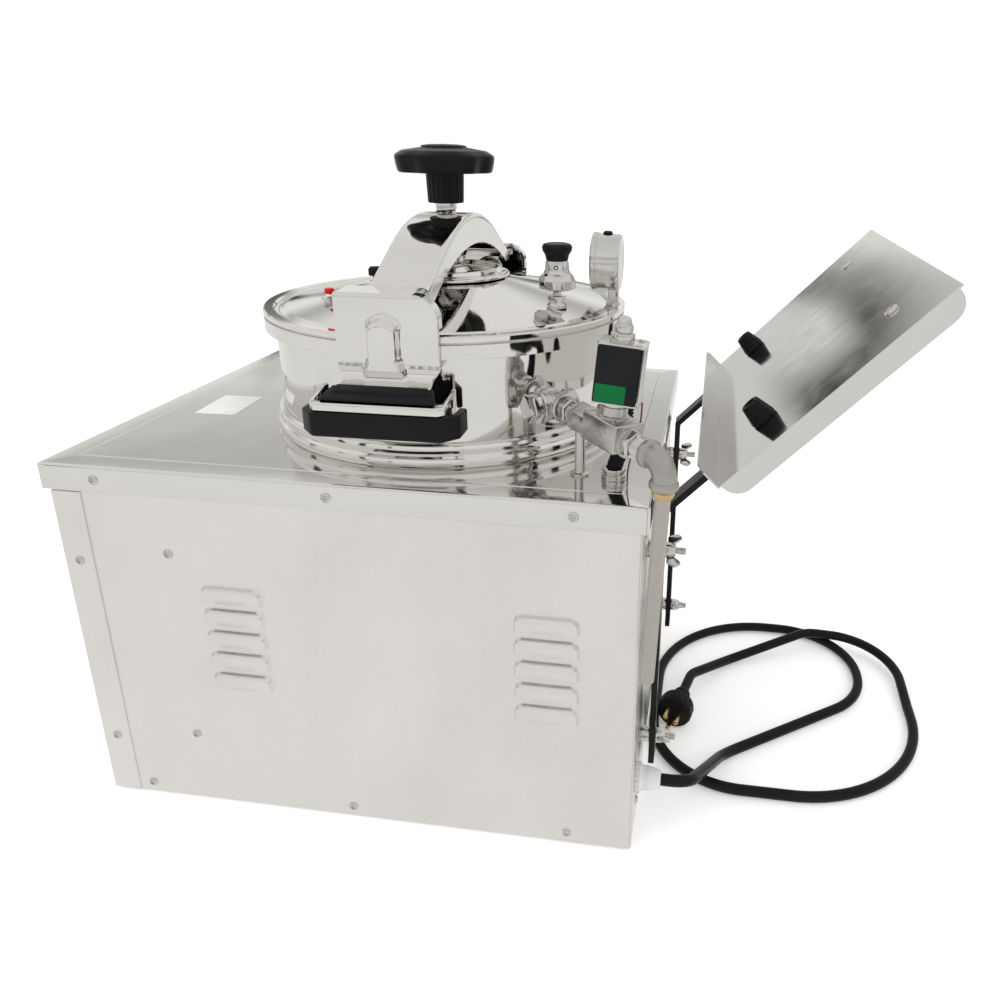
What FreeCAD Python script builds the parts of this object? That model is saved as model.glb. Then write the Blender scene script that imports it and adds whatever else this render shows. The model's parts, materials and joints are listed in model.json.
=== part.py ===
import FreeCAD, Part
import math
import os
import Sketcher
from FreeCAD import Placement, Rotation, Vector

# Countertop pressure fryer: a stainless cabinet, a clamped-lid pressure pot set into its cover,
# an exhaust line with a solenoid valve, and a sloping drip shelf on two bent arms behind it.
# Frame: origin at the middle of the footprint, +Z up, the operator stands on the -Y side.

doc = FreeCAD.newDocument("pressure_fryer")
dims = doc.addObject("Spreadsheet::Sheet", "Dims")

DRIVING = {
    # cabinet
    "coverWidth": 380, "coverDepth": 470, "coverTop": 313, "coverLip": 21.4, "coverGauge": 1.5,
    "bodyWidth": 370.6, "bodyDepth": 460.6, "panelGauge": 1.2, "skirtBottom": 3, "wrapWidth": 24.3,
    "footTall": 9, "footRadius": 16, "footX": 150, "footY": 195, "screwHead": 4, "baseGauge": 1.5,
    "grooveInset": 20, "trayTall": 14,
    "louverLong": 47, "louverTall": 10.5, "louverOut": 4, "louverPitch": 20, "louverTop": 214,
    "louverFrontY": -92.5, "louverRearY": 160.5,
    # pot and lid, all about the pot axis
    "potY": 36, "potRadius": 147, "potWall": 2.5, "potFloor": 112, "rimRadius": 156,
    "rimBottom": 400, "rimTop": 410.5, "lidFlange": 412.4, "lidTop": 417, "bossRadius": 53.5,
    "bossTop": 441, "lidGauge": 2.5, "ringRadius": 153,
    # clamp
    "clampTurn": 1.5, "beamTurn": 0.5, "beamWidth": 48, "beamCrown": 491.5, "beamArc": 165, "beamGauge": 2.5,
    "beamEndX": 126, "footReach": 148, "footTopZ": 444.5, "screwRadius": 9, "knobTop": 547,
    "knobRadius": 43, "knobHub": 499.5, "runClearance": 0.06,
    "earX": 158, "earGauge": 3, "earWidth": 75.5, "earTop": 448.2, "earBottom": 395, "earReach": 28,
    "gripOut": 195, "gripWidth": 116, "gripTop": 385, "gripBottom": 351.5, "bandTall": 18, "trimTall": 6.8,
    # lid fittings
    "reliefX": 42, "reliefY": 141, "floatX": 73, "floatY": -42, "plugX": 4, "plugY": -30,
    "gaugeX": -10, "gaugeY": 181.6, "gaugeZ": 453, "gaugeRadius": 25, "gaugeDepth": 25,
    # exhaust line, leaving the pot wall along its own inclined axis
    "portTurn": 45, "portDroop": 3.1, "portZ": 363.3, "pipeRadius": 6.7, "exhaustLength": 149,
    "valveAlong": 90, "valveLean": -4.5, "coilWide": 30, "coilTall": 42.6, "coilBase": 24, "dropLength": 174,
    "postX": 136, "postY": 176.7, "conduitX": 138, "conduitY": 203,
    # shelf
    "shelfHalf": 174, "shelfSlope": 46.4, "shelfLowY": 280.2, "shelfLowZ": 325, "shelfLong": 205,
    "shelfLip": 21, "shelfSide": 16, "shelfFixX": 115, "armX": 111.5, "armWidth": 20, "armGauge": 5,
    "armFace": 238, "armBottom": 37,
    # mains lead and controls
    "cableRadius": 5, "glandX": 160, "glandZ": 55, "fasciaWidth": 190, "fasciaTall": 66,
    "fasciaZ": 232, "rockerX": 120, "rockerZ": 110, "drainX": -95, "drainZ": 58,
}

for row, (alias, number) in enumerate(DRIVING.items(), start=1):
    dims.set(f"A{row}", str(number))
    dims.setAlias(f"A{row}", alias)
doc.recompute()

FULL_CIRCLE = 360
UP = Vector(0, 0, 1)
RIGHTWARD = Vector(1, 0, 0)
REARWARD = Vector(0, 1, 0)
GAP = 0.05
LOUVERS = 5
KNOB_LOBES = 8
HUB_FLUTES = 20
ROCKER_TILT = 11
CAP_SLOPE = 22
BEAM_SLOPE = 27
STUD_HEIGHTS = (60, 242)
SHELF_FIXINGS = (47, 164)
PIN_PLACES = ((-6.3, -3), (6.3, -3), (0, 6))


def bound(formula):
    """The same formula with each alias written as a cell of the sheet."""
    words = []
    word = ""
    for sign in str(formula) + " ":
        if sign.isalnum() or sign in "._":
            word += sign
            continue
        words.append("Dims." + word if word in DRIVING else word)
        words.append(sign)
        word = ""
    return "".join(words).strip()


def size(formula):
    """The number that a formula of aliases gives now."""
    result = dims.evalExpression(bound(formula))
    return float(getattr(result, "Value", result))


def tie(thing, prop, formula):
    thing.setExpression(prop, bound(formula))


# ---------------------------------------------------------------- sketches and features

def pin_point(sketch, line, end, x, y):
    """Hold one end of a line or arc at formulas x and y, measured from the sketch origin."""
    for kind, axis, formula in (("DistanceX", -2, x), ("DistanceY", -1, y)):
        if abs(size(formula)) < 1e-9:
            sketch.addConstraint(Sketcher.Constraint("PointOnObject", line, end, axis))
            continue
        index = sketch.addConstraint(Sketcher.Constraint(kind, -1, 1, line, end, size(formula)))
        tie(sketch, f"Constraints[{index}]", formula)


def arc_between(start, finish, radius):
    """The short arc between two points; a positive radius bulges to the right of the way it runs."""
    chord = finish - start
    half = chord.Length / 2
    side = Vector(chord.y, -chord.x, 0).normalize()
    away = math.sqrt(radius * radius - half * half)
    centre = (start + finish) / 2 - side * math.copysign(away, radius)
    middle = centre + side * radius
    return Part.Arc(start, middle, finish)


def outline(sketch, points):
    """A closed outline. A point is (x, y), or (x, y, radius) where an arc runs on to the next point."""
    corners = [Vector(size(p[0]), size(p[1]), 0) for p in points]
    lines = []
    for index, point in enumerate(points):
        start = corners[index]
        finish = corners[(index + 1) % len(points)]
        piece = Part.LineSegment(start, finish)
        if len(point) == 3:
            piece = arc_between(start, finish, size(point[2]))
        line = sketch.addGeometry(piece)
        backwards = sketch.getPoint(line, 1).distanceToPoint(start) > 1e-6
        lines.append((line, 2, 1) if backwards else (line, 1, 2))
    for index, point in enumerate(points):
        line, starts, _ = lines[index]
        before, _, ends = lines[index - 1]
        sketch.addConstraint(Sketcher.Constraint("Coincident", before, ends, line, starts))
        pin_point(sketch, line, starts, point[0], point[1])
    for index, point in enumerate(points):
        if len(point) == 3:
            held = sketch.addConstraint(Sketcher.Constraint("Radius", lines[index][0], abs(size(point[2]))))
            tie(sketch, f"Constraints[{held}]", f"abs({point[2]})")


def disc(sketch, x, y, radius):
    """A circle at formulas x and y."""
    centre = Vector(size(x), size(y), 0)
    line = sketch.addGeometry(Part.Circle(centre, Vector(0, 0, 1), size(radius)))
    held = sketch.addConstraint(Sketcher.Constraint("Radius", line, size(radius)))
    tie(sketch, f"Constraints[{held}]", radius)
    pin_point(sketch, line, 3, x, y)


def rectangle(sketch, x0, y0, x1, y1):
    outline(sketch, [(x0, y0), (x1, y0), (x1, y1), (x0, y1)])


def inset_rectangle(sketch, width, depth, inset):
    """A rectangle centred on the sketch origin, drawn in by an inset from its full width and depth."""
    x = f"{width} / 2 - {inset}"
    y = f"{depth} / 2 - {inset}"
    rectangle(sketch, f"-({x})", f"-({y})", x, y)


def new_body(label):
    body = doc.addObject("PartDesign::Body", label)
    body.Label = label
    return body


def sketch_on(body, role, offset="0"):
    """A sketch on one of the body's origin planes, raised along that plane's normal."""
    sketch = body.newObject("Sketcher::SketchObject", body.Label + "_sketch")
    plane = next(item for item in body.Origin.OriginFeatures if item.Role == role)
    sketch.AttachmentSupport = [(plane, "")]
    sketch.MapMode = "FlatFace"
    tie(sketch, "AttachmentOffset.Base.z", offset)
    return sketch


def pad(body, sketch, length, both=False):
    feature = body.newObject("PartDesign::Pad", body.Label + "_pad")
    feature.Profile = sketch
    tie(feature, "Length", length)
    feature.Midplane = both
    body.Tip = feature
    return feature


def pocket(body, sketch, length, backwards=False):
    """Cut a sketch into the body, and refuse a cut that takes nothing away."""
    doc.recompute()
    before = body.Shape.Volume
    feature = body.newObject("PartDesign::Pocket", body.Label + "_pocket")
    feature.Profile = sketch
    tie(feature, "Length", length)
    feature.Reversed = backwards
    body.Tip = feature
    doc.recompute()
    if body.Shape.Volume > before - 1e-6:
        raise ValueError(f"{body.Label}: pocket cuts nothing")
    return feature


def revolve(body, sketch):
    feature = body.newObject("PartDesign::Revolution", body.Label + "_turned")
    feature.Profile = sketch
    feature.ReferenceAxis = (sketch, ["V_Axis"])
    feature.Angle = FULL_CIRCLE
    body.Tip = feature
    return feature


def place(thing, x="0", y="0", z="0"):
    for axis, formula in (("x", x), ("y", y), ("z", z)):
        tie(thing, f"Placement.Base.{axis}", formula)


def turned(label, points, x="0", y="0", z="0"):
    """A body turned about its own Z axis from an outline of (radius, height) points."""
    body = new_body(label)
    sketch = sketch_on(body, "XZ_Plane")
    outline(sketch, points)
    revolve(body, sketch)
    place(body, x, y, z)
    return body


def feature_of(label, shape, placement=None):
    """A plain feature for a shape that neither a body nor a primitive gives."""
    thing = doc.addObject("Part::Feature", label)
    thing.Label = label
    thing.Shape = shape
    if placement:
        thing.Placement = placement.multiply(shape.Placement)
    return thing


def round_bar(radius, start, finish):
    """A round bar between two points."""
    run = finish - start
    return Part.makeCylinder(radius, run.Length, start, run)


def bent_bar(path, radius):
    """A round bar bent along (point, bend radius) pairs: straight runs joined by true arcs."""
    edges = []
    here = path[0][0]
    for (before, _), (corner, bend), (after, _) in zip(path, path[1:], path[2:]):
        back = (before - corner).normalize()
        ahead = (after - corner).normalize()
        half = back.getAngle(ahead) / 2
        entry = corner + back * (bend / math.tan(half))
        leave = corner + ahead * (bend / math.tan(half))
        inward = (back + ahead).normalize()
        middle = corner + inward * (bend / math.sin(half) - bend)
        edges.append(Part.makeLine(here, entry))
        edges.append(Part.Arc(entry, middle, leave).toShape())
        here = leave
    edges.append(Part.makeLine(here, path[-1][0]))
    ring = Part.Wire([Part.makeCircle(radius, path[0][0], path[1][0] - path[0][0])])
    return Part.Wire(edges).makePipeShell([ring], True, False)


def hexagon(across, tall):
    """A hexagonal prism standing on the XY plane."""
    reach = across / math.sqrt(3)
    corners = [Vector(reach * math.cos(math.radians(60 * k)), reach * math.sin(math.radians(60 * k)), 0)
               for k in range(6)]
    return Part.Face(Part.makePolygon(corners + corners[:1])).extrude(Vector(0, 0, tall))


def about_pot(turn=0):
    """A placement on the pot axis, turned about it."""
    return Placement(Vector(0, size("potY"), 0), Rotation(UP, turn))


# ---------------------------------------------------------------- cabinet

def top_cover():
    """A shallow folded lid over the cabinet, with the hole that the pot hangs through."""
    body = new_body("top_cover")
    outer = sketch_on(body, "XY_Plane", "coverTop - coverLip")
    inset_rectangle(outer, "coverWidth", "coverDepth", 0)
    pad(body, outer, "coverLip")
    inner = sketch_on(body, "XY_Plane", "coverTop - coverLip")
    inset_rectangle(inner, "coverWidth", "coverDepth", "coverGauge")
    pocket(body, inner, "coverLip - coverGauge", backwards=True)
    hole = sketch_on(body, "XY_Plane", "coverTop")
    disc(hole, "0", "potY", "potRadius + 1")
    pocket(body, hole, "2 * coverGauge")
    conduit_hole = sketch_on(body, "XY_Plane", "coverTop")
    disc(conduit_hole, "conduitX", "conduitY", "6")
    pocket(body, conduit_hole, "2 * coverGauge")
    field = sketch_on(body, "XY_Plane", "coverTop")
    inset_rectangle(field, "coverWidth", "coverDepth", "grooveInset")
    inset_rectangle(field, "coverWidth", "coverDepth", "(grooveInset + 2)")
    pocket(body, field, "0.5")
    return body


def side_panel():
    """The right side: a flat sheet with two stacks of pressed hoods over open slots."""
    body = new_body("side_right")
    inside = "bodyWidth / 2 - panelGauge"
    sheet = sketch_on(body, "YZ_Plane", inside)
    rectangle(sheet, "-bodyDepth / 2 + panelGauge", "skirtBottom", "bodyDepth / 2 - panelGauge",
              "coverTop - coverGauge")
    pad(body, sheet, "panelGauge")
    for middle in ("louverFrontY", "louverRearY"):
        slots = sketch_on(body, "YZ_Plane", inside)
        for step in range(LOUVERS):
            top = f"louverTop - {step} * louverPitch"
            rectangle(slots, f"{middle} - louverLong / 2 + 3", f"{top} - louverTall + 1",
                      f"{middle} + louverLong / 2 - 3", f"{top} - 4")
        pocket(body, slots, "panelGauge", backwards=True)
    for middle in ("louverFrontY", "louverRearY"):
        hoods = sketch_on(body, "XZ_Plane", f"-({middle})")
        for step in range(LOUVERS):
            outline(hoods, hood_profile(f"louverTop - {step} * louverPitch"))
        pad(body, hoods, "louverLong", both=True)
    return body


def hood_profile(top):
    """Section of one pressed hood: it springs from the sheet at its top and stands open below."""
    face = "bodyWidth / 2"
    return [
        (f"{face} - 0.3", top), (f"{face} + 0.7 * louverOut", f"{top} - 1.5"),
        (f"{face} + louverOut", f"{top} - 5"), (f"{face} + louverOut", f"{top} - louverTall"),
        (f"{face} + 0.75 * louverOut", f"{top} - louverTall"), (f"{face} + 0.75 * louverOut", f"{top} - 5"),
        (f"{face} + 0.5 * louverOut", f"{top} - 3"), (f"{face} - 0.3", f"{top} - 2"),
    ]


def side_panels():
    """Both side sheets, mirror images of each other."""
    right = side_panel()
    left = doc.addObject("Part::Mirroring", "side_left")
    left.Source = right
    left.Normal = (1, 0, 0)
    pair = doc.addObject("Part::Compound", "side_panels")
    pair.Links = [right, left]
    return pair


def front_panel():
    """The front sheet, folded back over both sides, with openings for the controls and drain."""
    body = new_body("front_panel")
    plan = sketch_on(body, "XY_Plane", "skirtBottom")
    face = "-bodyDepth / 2"
    out = "bodyWidth / 2 + 1"
    inside = "bodyWidth / 2"
    outline(plan, [
        (f"-({out})", face), (out, face), (out, f"{face} + wrapWidth"), (inside, f"{face} + wrapWidth"),
        (inside, f"{face} + panelGauge"), (f"-({inside})", f"{face} + panelGauge"),
        (f"-({inside})", f"{face} + wrapWidth"), (f"-({out})", f"{face} + wrapWidth"),
    ])
    pad(body, plan, "coverTop - coverLip - 2.6 - skirtBottom")
    openings = sketch_on(body, "XZ_Plane", "bodyDepth / 2")
    rectangle(openings, "-35", "fasciaZ - 12", "35", "fasciaZ + 22")
    rectangle(openings, "rockerX - 14", "rockerZ - 11", "rockerX + 14", "rockerZ + 11")
    disc(openings, "drainX", "drainZ", "12")
    pocket(body, openings, "2 * panelGauge")
    return body


def rear_panel():
    """The rear sheet, with the lead's hole and two rows of vent slots."""
    body = new_body("rear_panel")
    sheet = sketch_on(body, "XZ_Plane", "-bodyDepth / 2")
    rectangle(sheet, "-bodyWidth / 2 + panelGauge", "skirtBottom", "bodyWidth / 2 - panelGauge",
              "coverTop - coverGauge")
    pad(body, sheet, "panelGauge")
    vents = sketch_on(body, "XZ_Plane", "-bodyDepth / 2")
    disc(vents, "glandX", "glandZ", "9")
    for row in range(4):
        low = f"130 + {row} * 16"
        rectangle(vents, "-70", low, "-10", f"{low} + 5")
        rectangle(vents, "10", low, "70", f"{low} + 5")
    pocket(body, vents, "2 * panelGauge", backwards=True)
    return body


def base_plate():
    """The floor tray, with an upstand all round and four posts that carry the pot."""
    body = new_body("base_plate")
    tray = sketch_on(body, "XY_Plane", "footTall")
    inset_rectangle(tray, "bodyWidth", "bodyDepth", "(panelGauge + 0.1)")
    pad(body, tray, "trayTall")
    hollow = sketch_on(body, "XY_Plane", "footTall + baseGauge")
    inset_rectangle(hollow, "bodyWidth", "bodyDepth", "(panelGauge + baseGauge + 0.1)")
    pocket(body, hollow, "trayTall", backwards=True)
    posts = sketch_on(body, "XY_Plane", "footTall + baseGauge")
    for x in (-1, 1):
        for y in (-1, 1):
            disc(posts, f"{x * 75}", f"potY + {y * 75}", "9")
    pad(body, posts, "potFloor - footTall - baseGauge - 0.02")
    return body


def pan_head(radius, tall, shank):
    """A pan-head screw along +Z, its cross recess in the head; the head's underside is at zero."""
    dome = Part.makeSphere(radius * 1.35, Vector(0, 0, tall - radius * 1.35))
    head = Part.makeCylinder(radius, tall).common(dome)
    body = head.fuse(Part.makeCylinder(radius * 0.45, shank, Vector(0, 0, -shank)))
    long = 1.1 * radius
    wide = 0.28 * radius
    slot = Part.makeBox(long, wide, tall, Vector(-long / 2, -wide / 2, tall * 0.45))
    turned_slot = slot.copy()
    turned_slot.rotate(Vector(0, 0, 0), UP, 90)
    return body.cut(slot).cut(turned_slot)


def spots(shape, places):
    """Copies of one shape, each standing at a point and pointing along a direction."""
    copies = []
    for point, direction in places:
        copy = shape.copy()
        copy.Placement = Placement(point, Rotation(UP, direction)).multiply(shape.Placement)
        copies.append(copy)
    return Part.makeCompound(copies)


def left_and_right(x, y, z, direction):
    """The places for a pair of pieces on either side of the machine."""
    return [(Vector(side * x, y, z), direction) for side in (-1, 1)]


def housing_screws():
    lip_x = size("coverWidth / 2")
    side_x = size("bodyWidth / 2")
    wrap_x = side_x + 1
    places = []
    for side in (-1, 1):
        out = Vector(side, 0, 0)
        for y in (-189, -3, 181):
            places.append((Vector(side * lip_x, y, size("coverTop") - 11), out))
        for y in (-193, -8, 177):
            places.append((Vector(side * side_x, y, 12), out))
        for y, z in ((-141, 241), (-143, 70)):
            places.append((Vector(side * side_x, y, z), out))
        for z in (229, 60):
            places.append((Vector(side * wrap_x, -217.8, z), out))
    rear = size("bodyDepth / 2")
    for x in (-150, 150):
        for z in (22, 268):
            places.append((Vector(x, rear, z), Vector(0, 1, 0)))
    head = size("screwHead")
    return feature_of("housing_screws", spots(pan_head(head, 2.2, 3), places))


def rubber_feet():
    """Four round rubber feet, straight at the sole and tapering up to the base."""
    sole = 5
    radius = size("footRadius")
    taper = Part.makeCone(radius, radius - 3, size("footTall") - sole, Vector(0, 0, sole))
    foot = Part.makeCylinder(radius, sole).fuse(taper)
    front = left_and_right(size("footX"), -size("footY"), 0, UP)
    rear = left_and_right(size("footX"), size("footY"), 0, UP)
    return feature_of("rubber_feet", spots(foot, front + rear))


# ---------------------------------------------------------------- pot

def pot_vessel():
    """The pot: a thick turned rim on a drawn wall, with bosses for the exhaust and drain."""
    body = new_body("pot_vessel")
    sketch = sketch_on(body, "XZ_Plane")
    outline(sketch, [
        ("0", "potFloor"), ("potRadius - 14", "potFloor", "14"), ("potRadius", "potFloor + 14"),
        ("potRadius", "rimBottom"), ("rimRadius", "rimBottom"), ("rimRadius", "rimTop"),
        ("potRadius - potWall - 3", "rimTop"), ("potRadius - potWall - 3", "rimBottom - 3"),
        ("potRadius - potWall", "rimBottom - 6"), ("potRadius - potWall", "potFloor + 16", "-12"),
        ("potRadius - potWall - 12", "potFloor + 3"), ("0", "potFloor + 3"),
    ])
    revolve(body, sketch)
    place(body, "0", "potY", "0")
    outlet = doc.addObject("Part::Cylinder", "exhaust_opening")
    tie(outlet, "Radius", "pipeRadius - 2")
    outlet.Height = 20
    outlet.Placement = exhaust_frame().multiply(Placement(Vector(-12, 0, 0), Rotation(Vector(0, 1, 0), 90)))
    drain = doc.addObject("Part::Cylinder", "drain_opening")
    tie(drain, "Radius", "6")
    drain.Height = 30
    place(drain, "0", "potY", "potFloor - 10")
    holes = doc.addObject("Part::MultiFuse", "pot_openings")
    holes.Shapes = [outlet, drain]
    cut = doc.addObject("Part::Cut", "pot_vessel_cut")
    cut.Base = body
    cut.Tool = holes
    cut.Label = "pot_vessel_bored"
    return cut


def pot_base_ring():
    """The trim ring where the pot passes through the cover: two rolled beads."""
    return turned("pot_base_ring", [
        ("potRadius + 0.05", "coverTop + 0.02"), ("ringRadius - 2", "coverTop + 0.02"),
        ("ringRadius", "coverTop + 2", "4"), ("ringRadius", "coverTop + 9"),
        ("ringRadius - 2.5", "coverTop + 11"), ("ringRadius - 1.5", "coverTop + 13", "4"),
        ("ringRadius - 2", "coverTop + 18.5"), ("potRadius + 0.05", "coverTop + 20"),
    ], "0", "potY", "0")


def pot_insulation():
    return turned("pot_insulation", [
        ("potRadius + 0.1", "potFloor + 20"), ("potRadius + 18", "potFloor + 20"),
        ("potRadius + 18", "coverTop - 30"), ("potRadius + 0.1", "coverTop - 30"),
    ], "0", "potY", "0")


def heating_element():
    """Two rings of sheathed heater near the floor, joined at the front."""
    rings = []
    for index, ring_radius in enumerate((70, 105)):
        ring = doc.addObject("Part::Torus", f"heater_ring_{index}")
        ring.Radius1 = ring_radius
        ring.Radius2 = 4.2
        place(ring, "0", "potY", "potFloor + 26")
        rings.append(ring)
    bridge = doc.addObject("Part::Box", "heater_bridge")
    bridge.Length = 14
    bridge.Width = 70
    bridge.Height = 3
    place(bridge, "-7", "potY - 110", "potFloor + 24.5")
    joined = doc.addObject("Part::MultiFuse", "heating_element")
    joined.Shapes = rings + [bridge]
    return joined


def fry_basket():
    """The lift-out basket, as a closed cup with its real opening."""
    return turned("fry_basket", [
        ("0", "potFloor + 44"), ("122", "potFloor + 44"), ("132", "rimBottom - 30"),
        ("134", "rimBottom - 30"), ("134", "rimBottom - 27"), ("130", "rimBottom - 27"),
        ("120", "potFloor + 46"), ("0", "potFloor + 46"),
    ], "0", "potY", "0")


def ear_brackets():
    """Two fixed ears that the clamp beam hooks under, mirror images across the pot."""
    pair = Part.makeCompound(both_sides(ear_bracket()))
    return feature_of("ear_brackets", pair, about_pot(size("clampTurn")))


def both_sides(shape):
    return [shape, shape.mirror(Vector(0, 0, 0), RIGHTWARD)]


def ear_bracket():
    """One ear: an upright plate with a rounded corner, flared out at its foot and stiffened by a boss."""
    inner = size("earX")
    gauge = size("earGauge")
    half = size("earWidth / 2")
    top = size("earTop")
    low = size("earBottom")
    corner = 18
    plate = Part.makeBox(gauge, 2 * half, top - low, Vector(inner, -half, low))
    plate = plate.makeFillet(corner, [top_rear_edge(plate)])
    hem = Part.makeBox(gauge + 8, 2 * half, corner + 6, Vector(inner - 8, -half, top - corner - 6))
    hem = hem.makeFillet(corner, [top_rear_edge(hem)])
    inside = Part.makeBox(40, 2 * half, top - low, Vector(inner - 20, -half - gauge, low - gauge))
    hem = hem.cut(inside.makeFillet(corner - gauge, [top_rear_edge(inside)]))
    reach = size("earReach")
    flange = Part.makeBox(reach, 2 * half - corner, gauge, Vector(inner - reach, -half, top - gauge))
    web = Part.makeBox(28, 2 * half, gauge, Vector(inner - 28, -half, low))
    boss = Part.makeBox(12, 26, 41, Vector(inner - 4, -15, low - 4))
    boss = boss.makeFillet(5, [edge for edge in boss.Edges if edge.BoundBox.XMax > inner + 7.9])
    ear = plate.fuse([hem, flange, web, boss, ear_flare(inner, half, low), grip_stay(inner, low)])
    wall = Part.makeCylinder(size("potRadius") + 0.02, 200, Vector(0, 0, 300))
    rim = Part.makeCylinder(size("rimRadius") + 0.3, 30, Vector(0, 0, size("rimBottom") - 0.3))
    return ear.cut(wall).cut(rim).removeSplitter()


def top_rear_edge(box):
    bound_box = box.BoundBox
    return next(edge for edge in box.Edges
                if edge.BoundBox.YMin > bound_box.YMax - 1e-6 and edge.BoundBox.ZMin > bound_box.ZMax - 1e-6)


def ear_flare(inner, half, low):
    """The foot of an ear, curving outboard over the grip and narrowing as it goes."""
    gauge = size("earGauge")
    bend = 10 + gauge
    centre = Vector(inner + bend, -half, low)
    curl = Part.makeCylinder(bend, 2 * half, centre, Vector(0, 1, 0))
    curl = curl.cut(Part.makeCylinder(bend - gauge, 2 * half, centre, Vector(0, 1, 0)))
    curl = curl.common(Part.makeBox(bend, 2 * half, bend, Vector(inner, -half, low - bend)))
    tail = Part.makeBox(3, 2 * half, gauge, Vector(inner + bend, -half, low - bend))
    foot = half - 5
    front_view = [(-half, low + 1), (-half, low), (-foot, low - 9), (-foot, low - bend - 1),
                  (foot, low - bend - 1), (foot, low - 9), (half, low), (half, low + 1)]
    corners = [Vector(inner - 1, y, z) for y, z in front_view]
    narrow = Part.Face(Part.makePolygon(corners + corners[:1])).extrude(Vector(2 * bend, 0, 0))
    return curl.fuse(tail).common(narrow)


def grip_stay(inner, low):
    """The hidden strut under an ear that carries the grip's tray."""
    floor = size("gripBottom") - 1.48
    upright = Part.makeBox(3, 48, low + 1 - floor, Vector(inner - 8, -24, floor))
    arm = Part.makeBox(40, 60, 12, Vector(inner - 22, -30, floor))
    return upright.fuse(arm)


def slab(plan, base, tall):
    """An upright slab over a closed plan of (x, y) points."""
    points = [Vector(x, y, base) for x, y in plan]
    return Part.Face(Part.makePolygon(points + points[:1])).extrude(Vector(0, 0, tall))


def handle_grips():
    """The two black grips: a band wrapped round the front of the tray, and a sloping cap above it."""
    low = size("gripBottom")
    top = size("gripTop")
    out = size("gripOut")
    half = size("gripWidth / 2")
    tall = size("bandTall")
    band = slab([(out - 30, -half), (out - 12, -half), (out, 11 - half), (out, half - 11), (out - 12, half),
                 (out - 30, half)], low, tall)
    uprights = [edge for edge in band.Edges if edge.BoundBox.ZLength > 1 and edge.BoundBox.XMin > out - 13]
    band = band.makeFillet(3, uprights)
    band = band.cut(Part.makeBox(40, 2 * half - 12, tall, Vector(out - 55, 6 - half, low)))
    cap_low = low + tall + size("trimTall") + 0.1
    back = out - 20.5
    cap_plan = [(back, -37), (out - 7, -42), (out - 4, -40), (out - 4, 40), (out - 7, 42), (back, 37)]
    cap = slab(cap_plan, cap_low, top - cap_low)
    slope = Part.makeBox(80, 200, 40, Vector(0, -100, 0))
    slope.rotate(Vector(0, 0, 0), REARWARD, CAP_SLOPE)
    slope.translate(Vector(back, 0, top))
    core = Part.makeBox(8.4, 2 * half - 32, cap_low + 0.6 - low, Vector(out - 17, 16 - half, low))
    grip = band.fuse([core, cap.cut(slope)])
    return feature_of("handle_grips", Part.makeCompound(both_sides(grip)), about_pot(size("clampTurn")))


def handle_trims():
    """The bright trays the grips sit in: a strip across the front between two tapering side plates."""
    low = size("gripBottom")
    base = low + size("bandTall") + 0.02
    out = size("gripOut") - 2
    half = size("gripWidth / 2") - 9
    strip = slab([(out - 6.5, -half), (out - 4, -half), (out, 4 - half), (out, half - 4), (out - 4, half),
                  (out - 6.5, half)], base, size("trimTall"))
    start = out - 33
    shape = Part.Face(Part.makePolygon([
        Vector(start, -half, low - 3.5), Vector(out - 14, -half, low - 3.5), Vector(out - 14, -half, base),
        Vector(out - 4, -half, base), Vector(out - 4, -half, base + size("trimTall")),
        Vector(start + 5, -half, size("gripTop") - 3.5), Vector(start, -half, size("gripTop") - 3.5),
        Vector(start, -half, low - 3.5),
    ]))
    plates = [shape.extrude(Vector(0, 2.5, 0)), shape.extrude(Vector(0, 2.5, 0))]
    plates[1].translate(Vector(0, 2 * half - 2.5, 0))
    floor = Part.makeBox(out - 14 - start, 2 * half, 2, Vector(start, -half, low - 3.5))
    tray = strip.fuse(plates + [floor])
    return feature_of("handle_trims", Part.makeCompound(both_sides(tray)), about_pot(size("clampTurn")))


# ---------------------------------------------------------------- lid and clamp

def lid():
    """The lid: a flat flange on the rim, a gutter, and a cone up to the middle boss."""
    body = new_body("lid")
    sketch = sketch_on(body, "XZ_Plane")
    underside = [
        ("0", "bossTop - 4 - lidGauge"), ("bossRadius", "bossTop - 4 - lidGauge"),
        ("137", "lidTop - 1 - lidGauge"), ("140", "lidFlange"), ("rimRadius", "lidFlange"),
    ]
    upper = [
        ("rimRadius", "lidTop - 1"), ("rimRadius - 1", "lidTop"), ("148", "lidTop"),
        ("146.5", "lidTop - 2", "-5"), ("141", "lidTop - 2"), ("138", "lidTop - 0.5"),
        ("bossRadius", "bossTop - 4"), ("0", "bossTop - 4"),
    ]
    outline(sketch, underside + upper)
    revolve(body, sketch)
    place(body, "0", "potY", "0")
    holes = doc.addObject("Part::MultiFuse", "lid_openings")
    bores = []
    for name, x, y, radius in (("relief", "reliefX", "reliefY", "3.5"), ("float", "floatX", "floatY", "4.9"),
                               ("plug", "plugX", "plugY", "3"), ("gauge", "gaugeX", "gaugeY", "2.5")):
        bore = doc.addObject("Part::Cylinder", f"lid_bore_{name}")
        tie(bore, "Radius", radius)
        bore.Height = 60
        place(bore, x, y, "rimTop - 20")
        bores.append(bore)
    holes.Shapes = bores
    cut = doc.addObject("Part::Cut", "lid_bored")
    cut.Base = body
    cut.Tool = holes
    return cut


def lid_gasket():
    low = "rimTop + 0.02"
    high = "lidFlange - 0.02"
    return turned("lid_gasket", [("149", low), ("154", low), ("154", high), ("149", high)], "0", "potY", "0")


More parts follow.
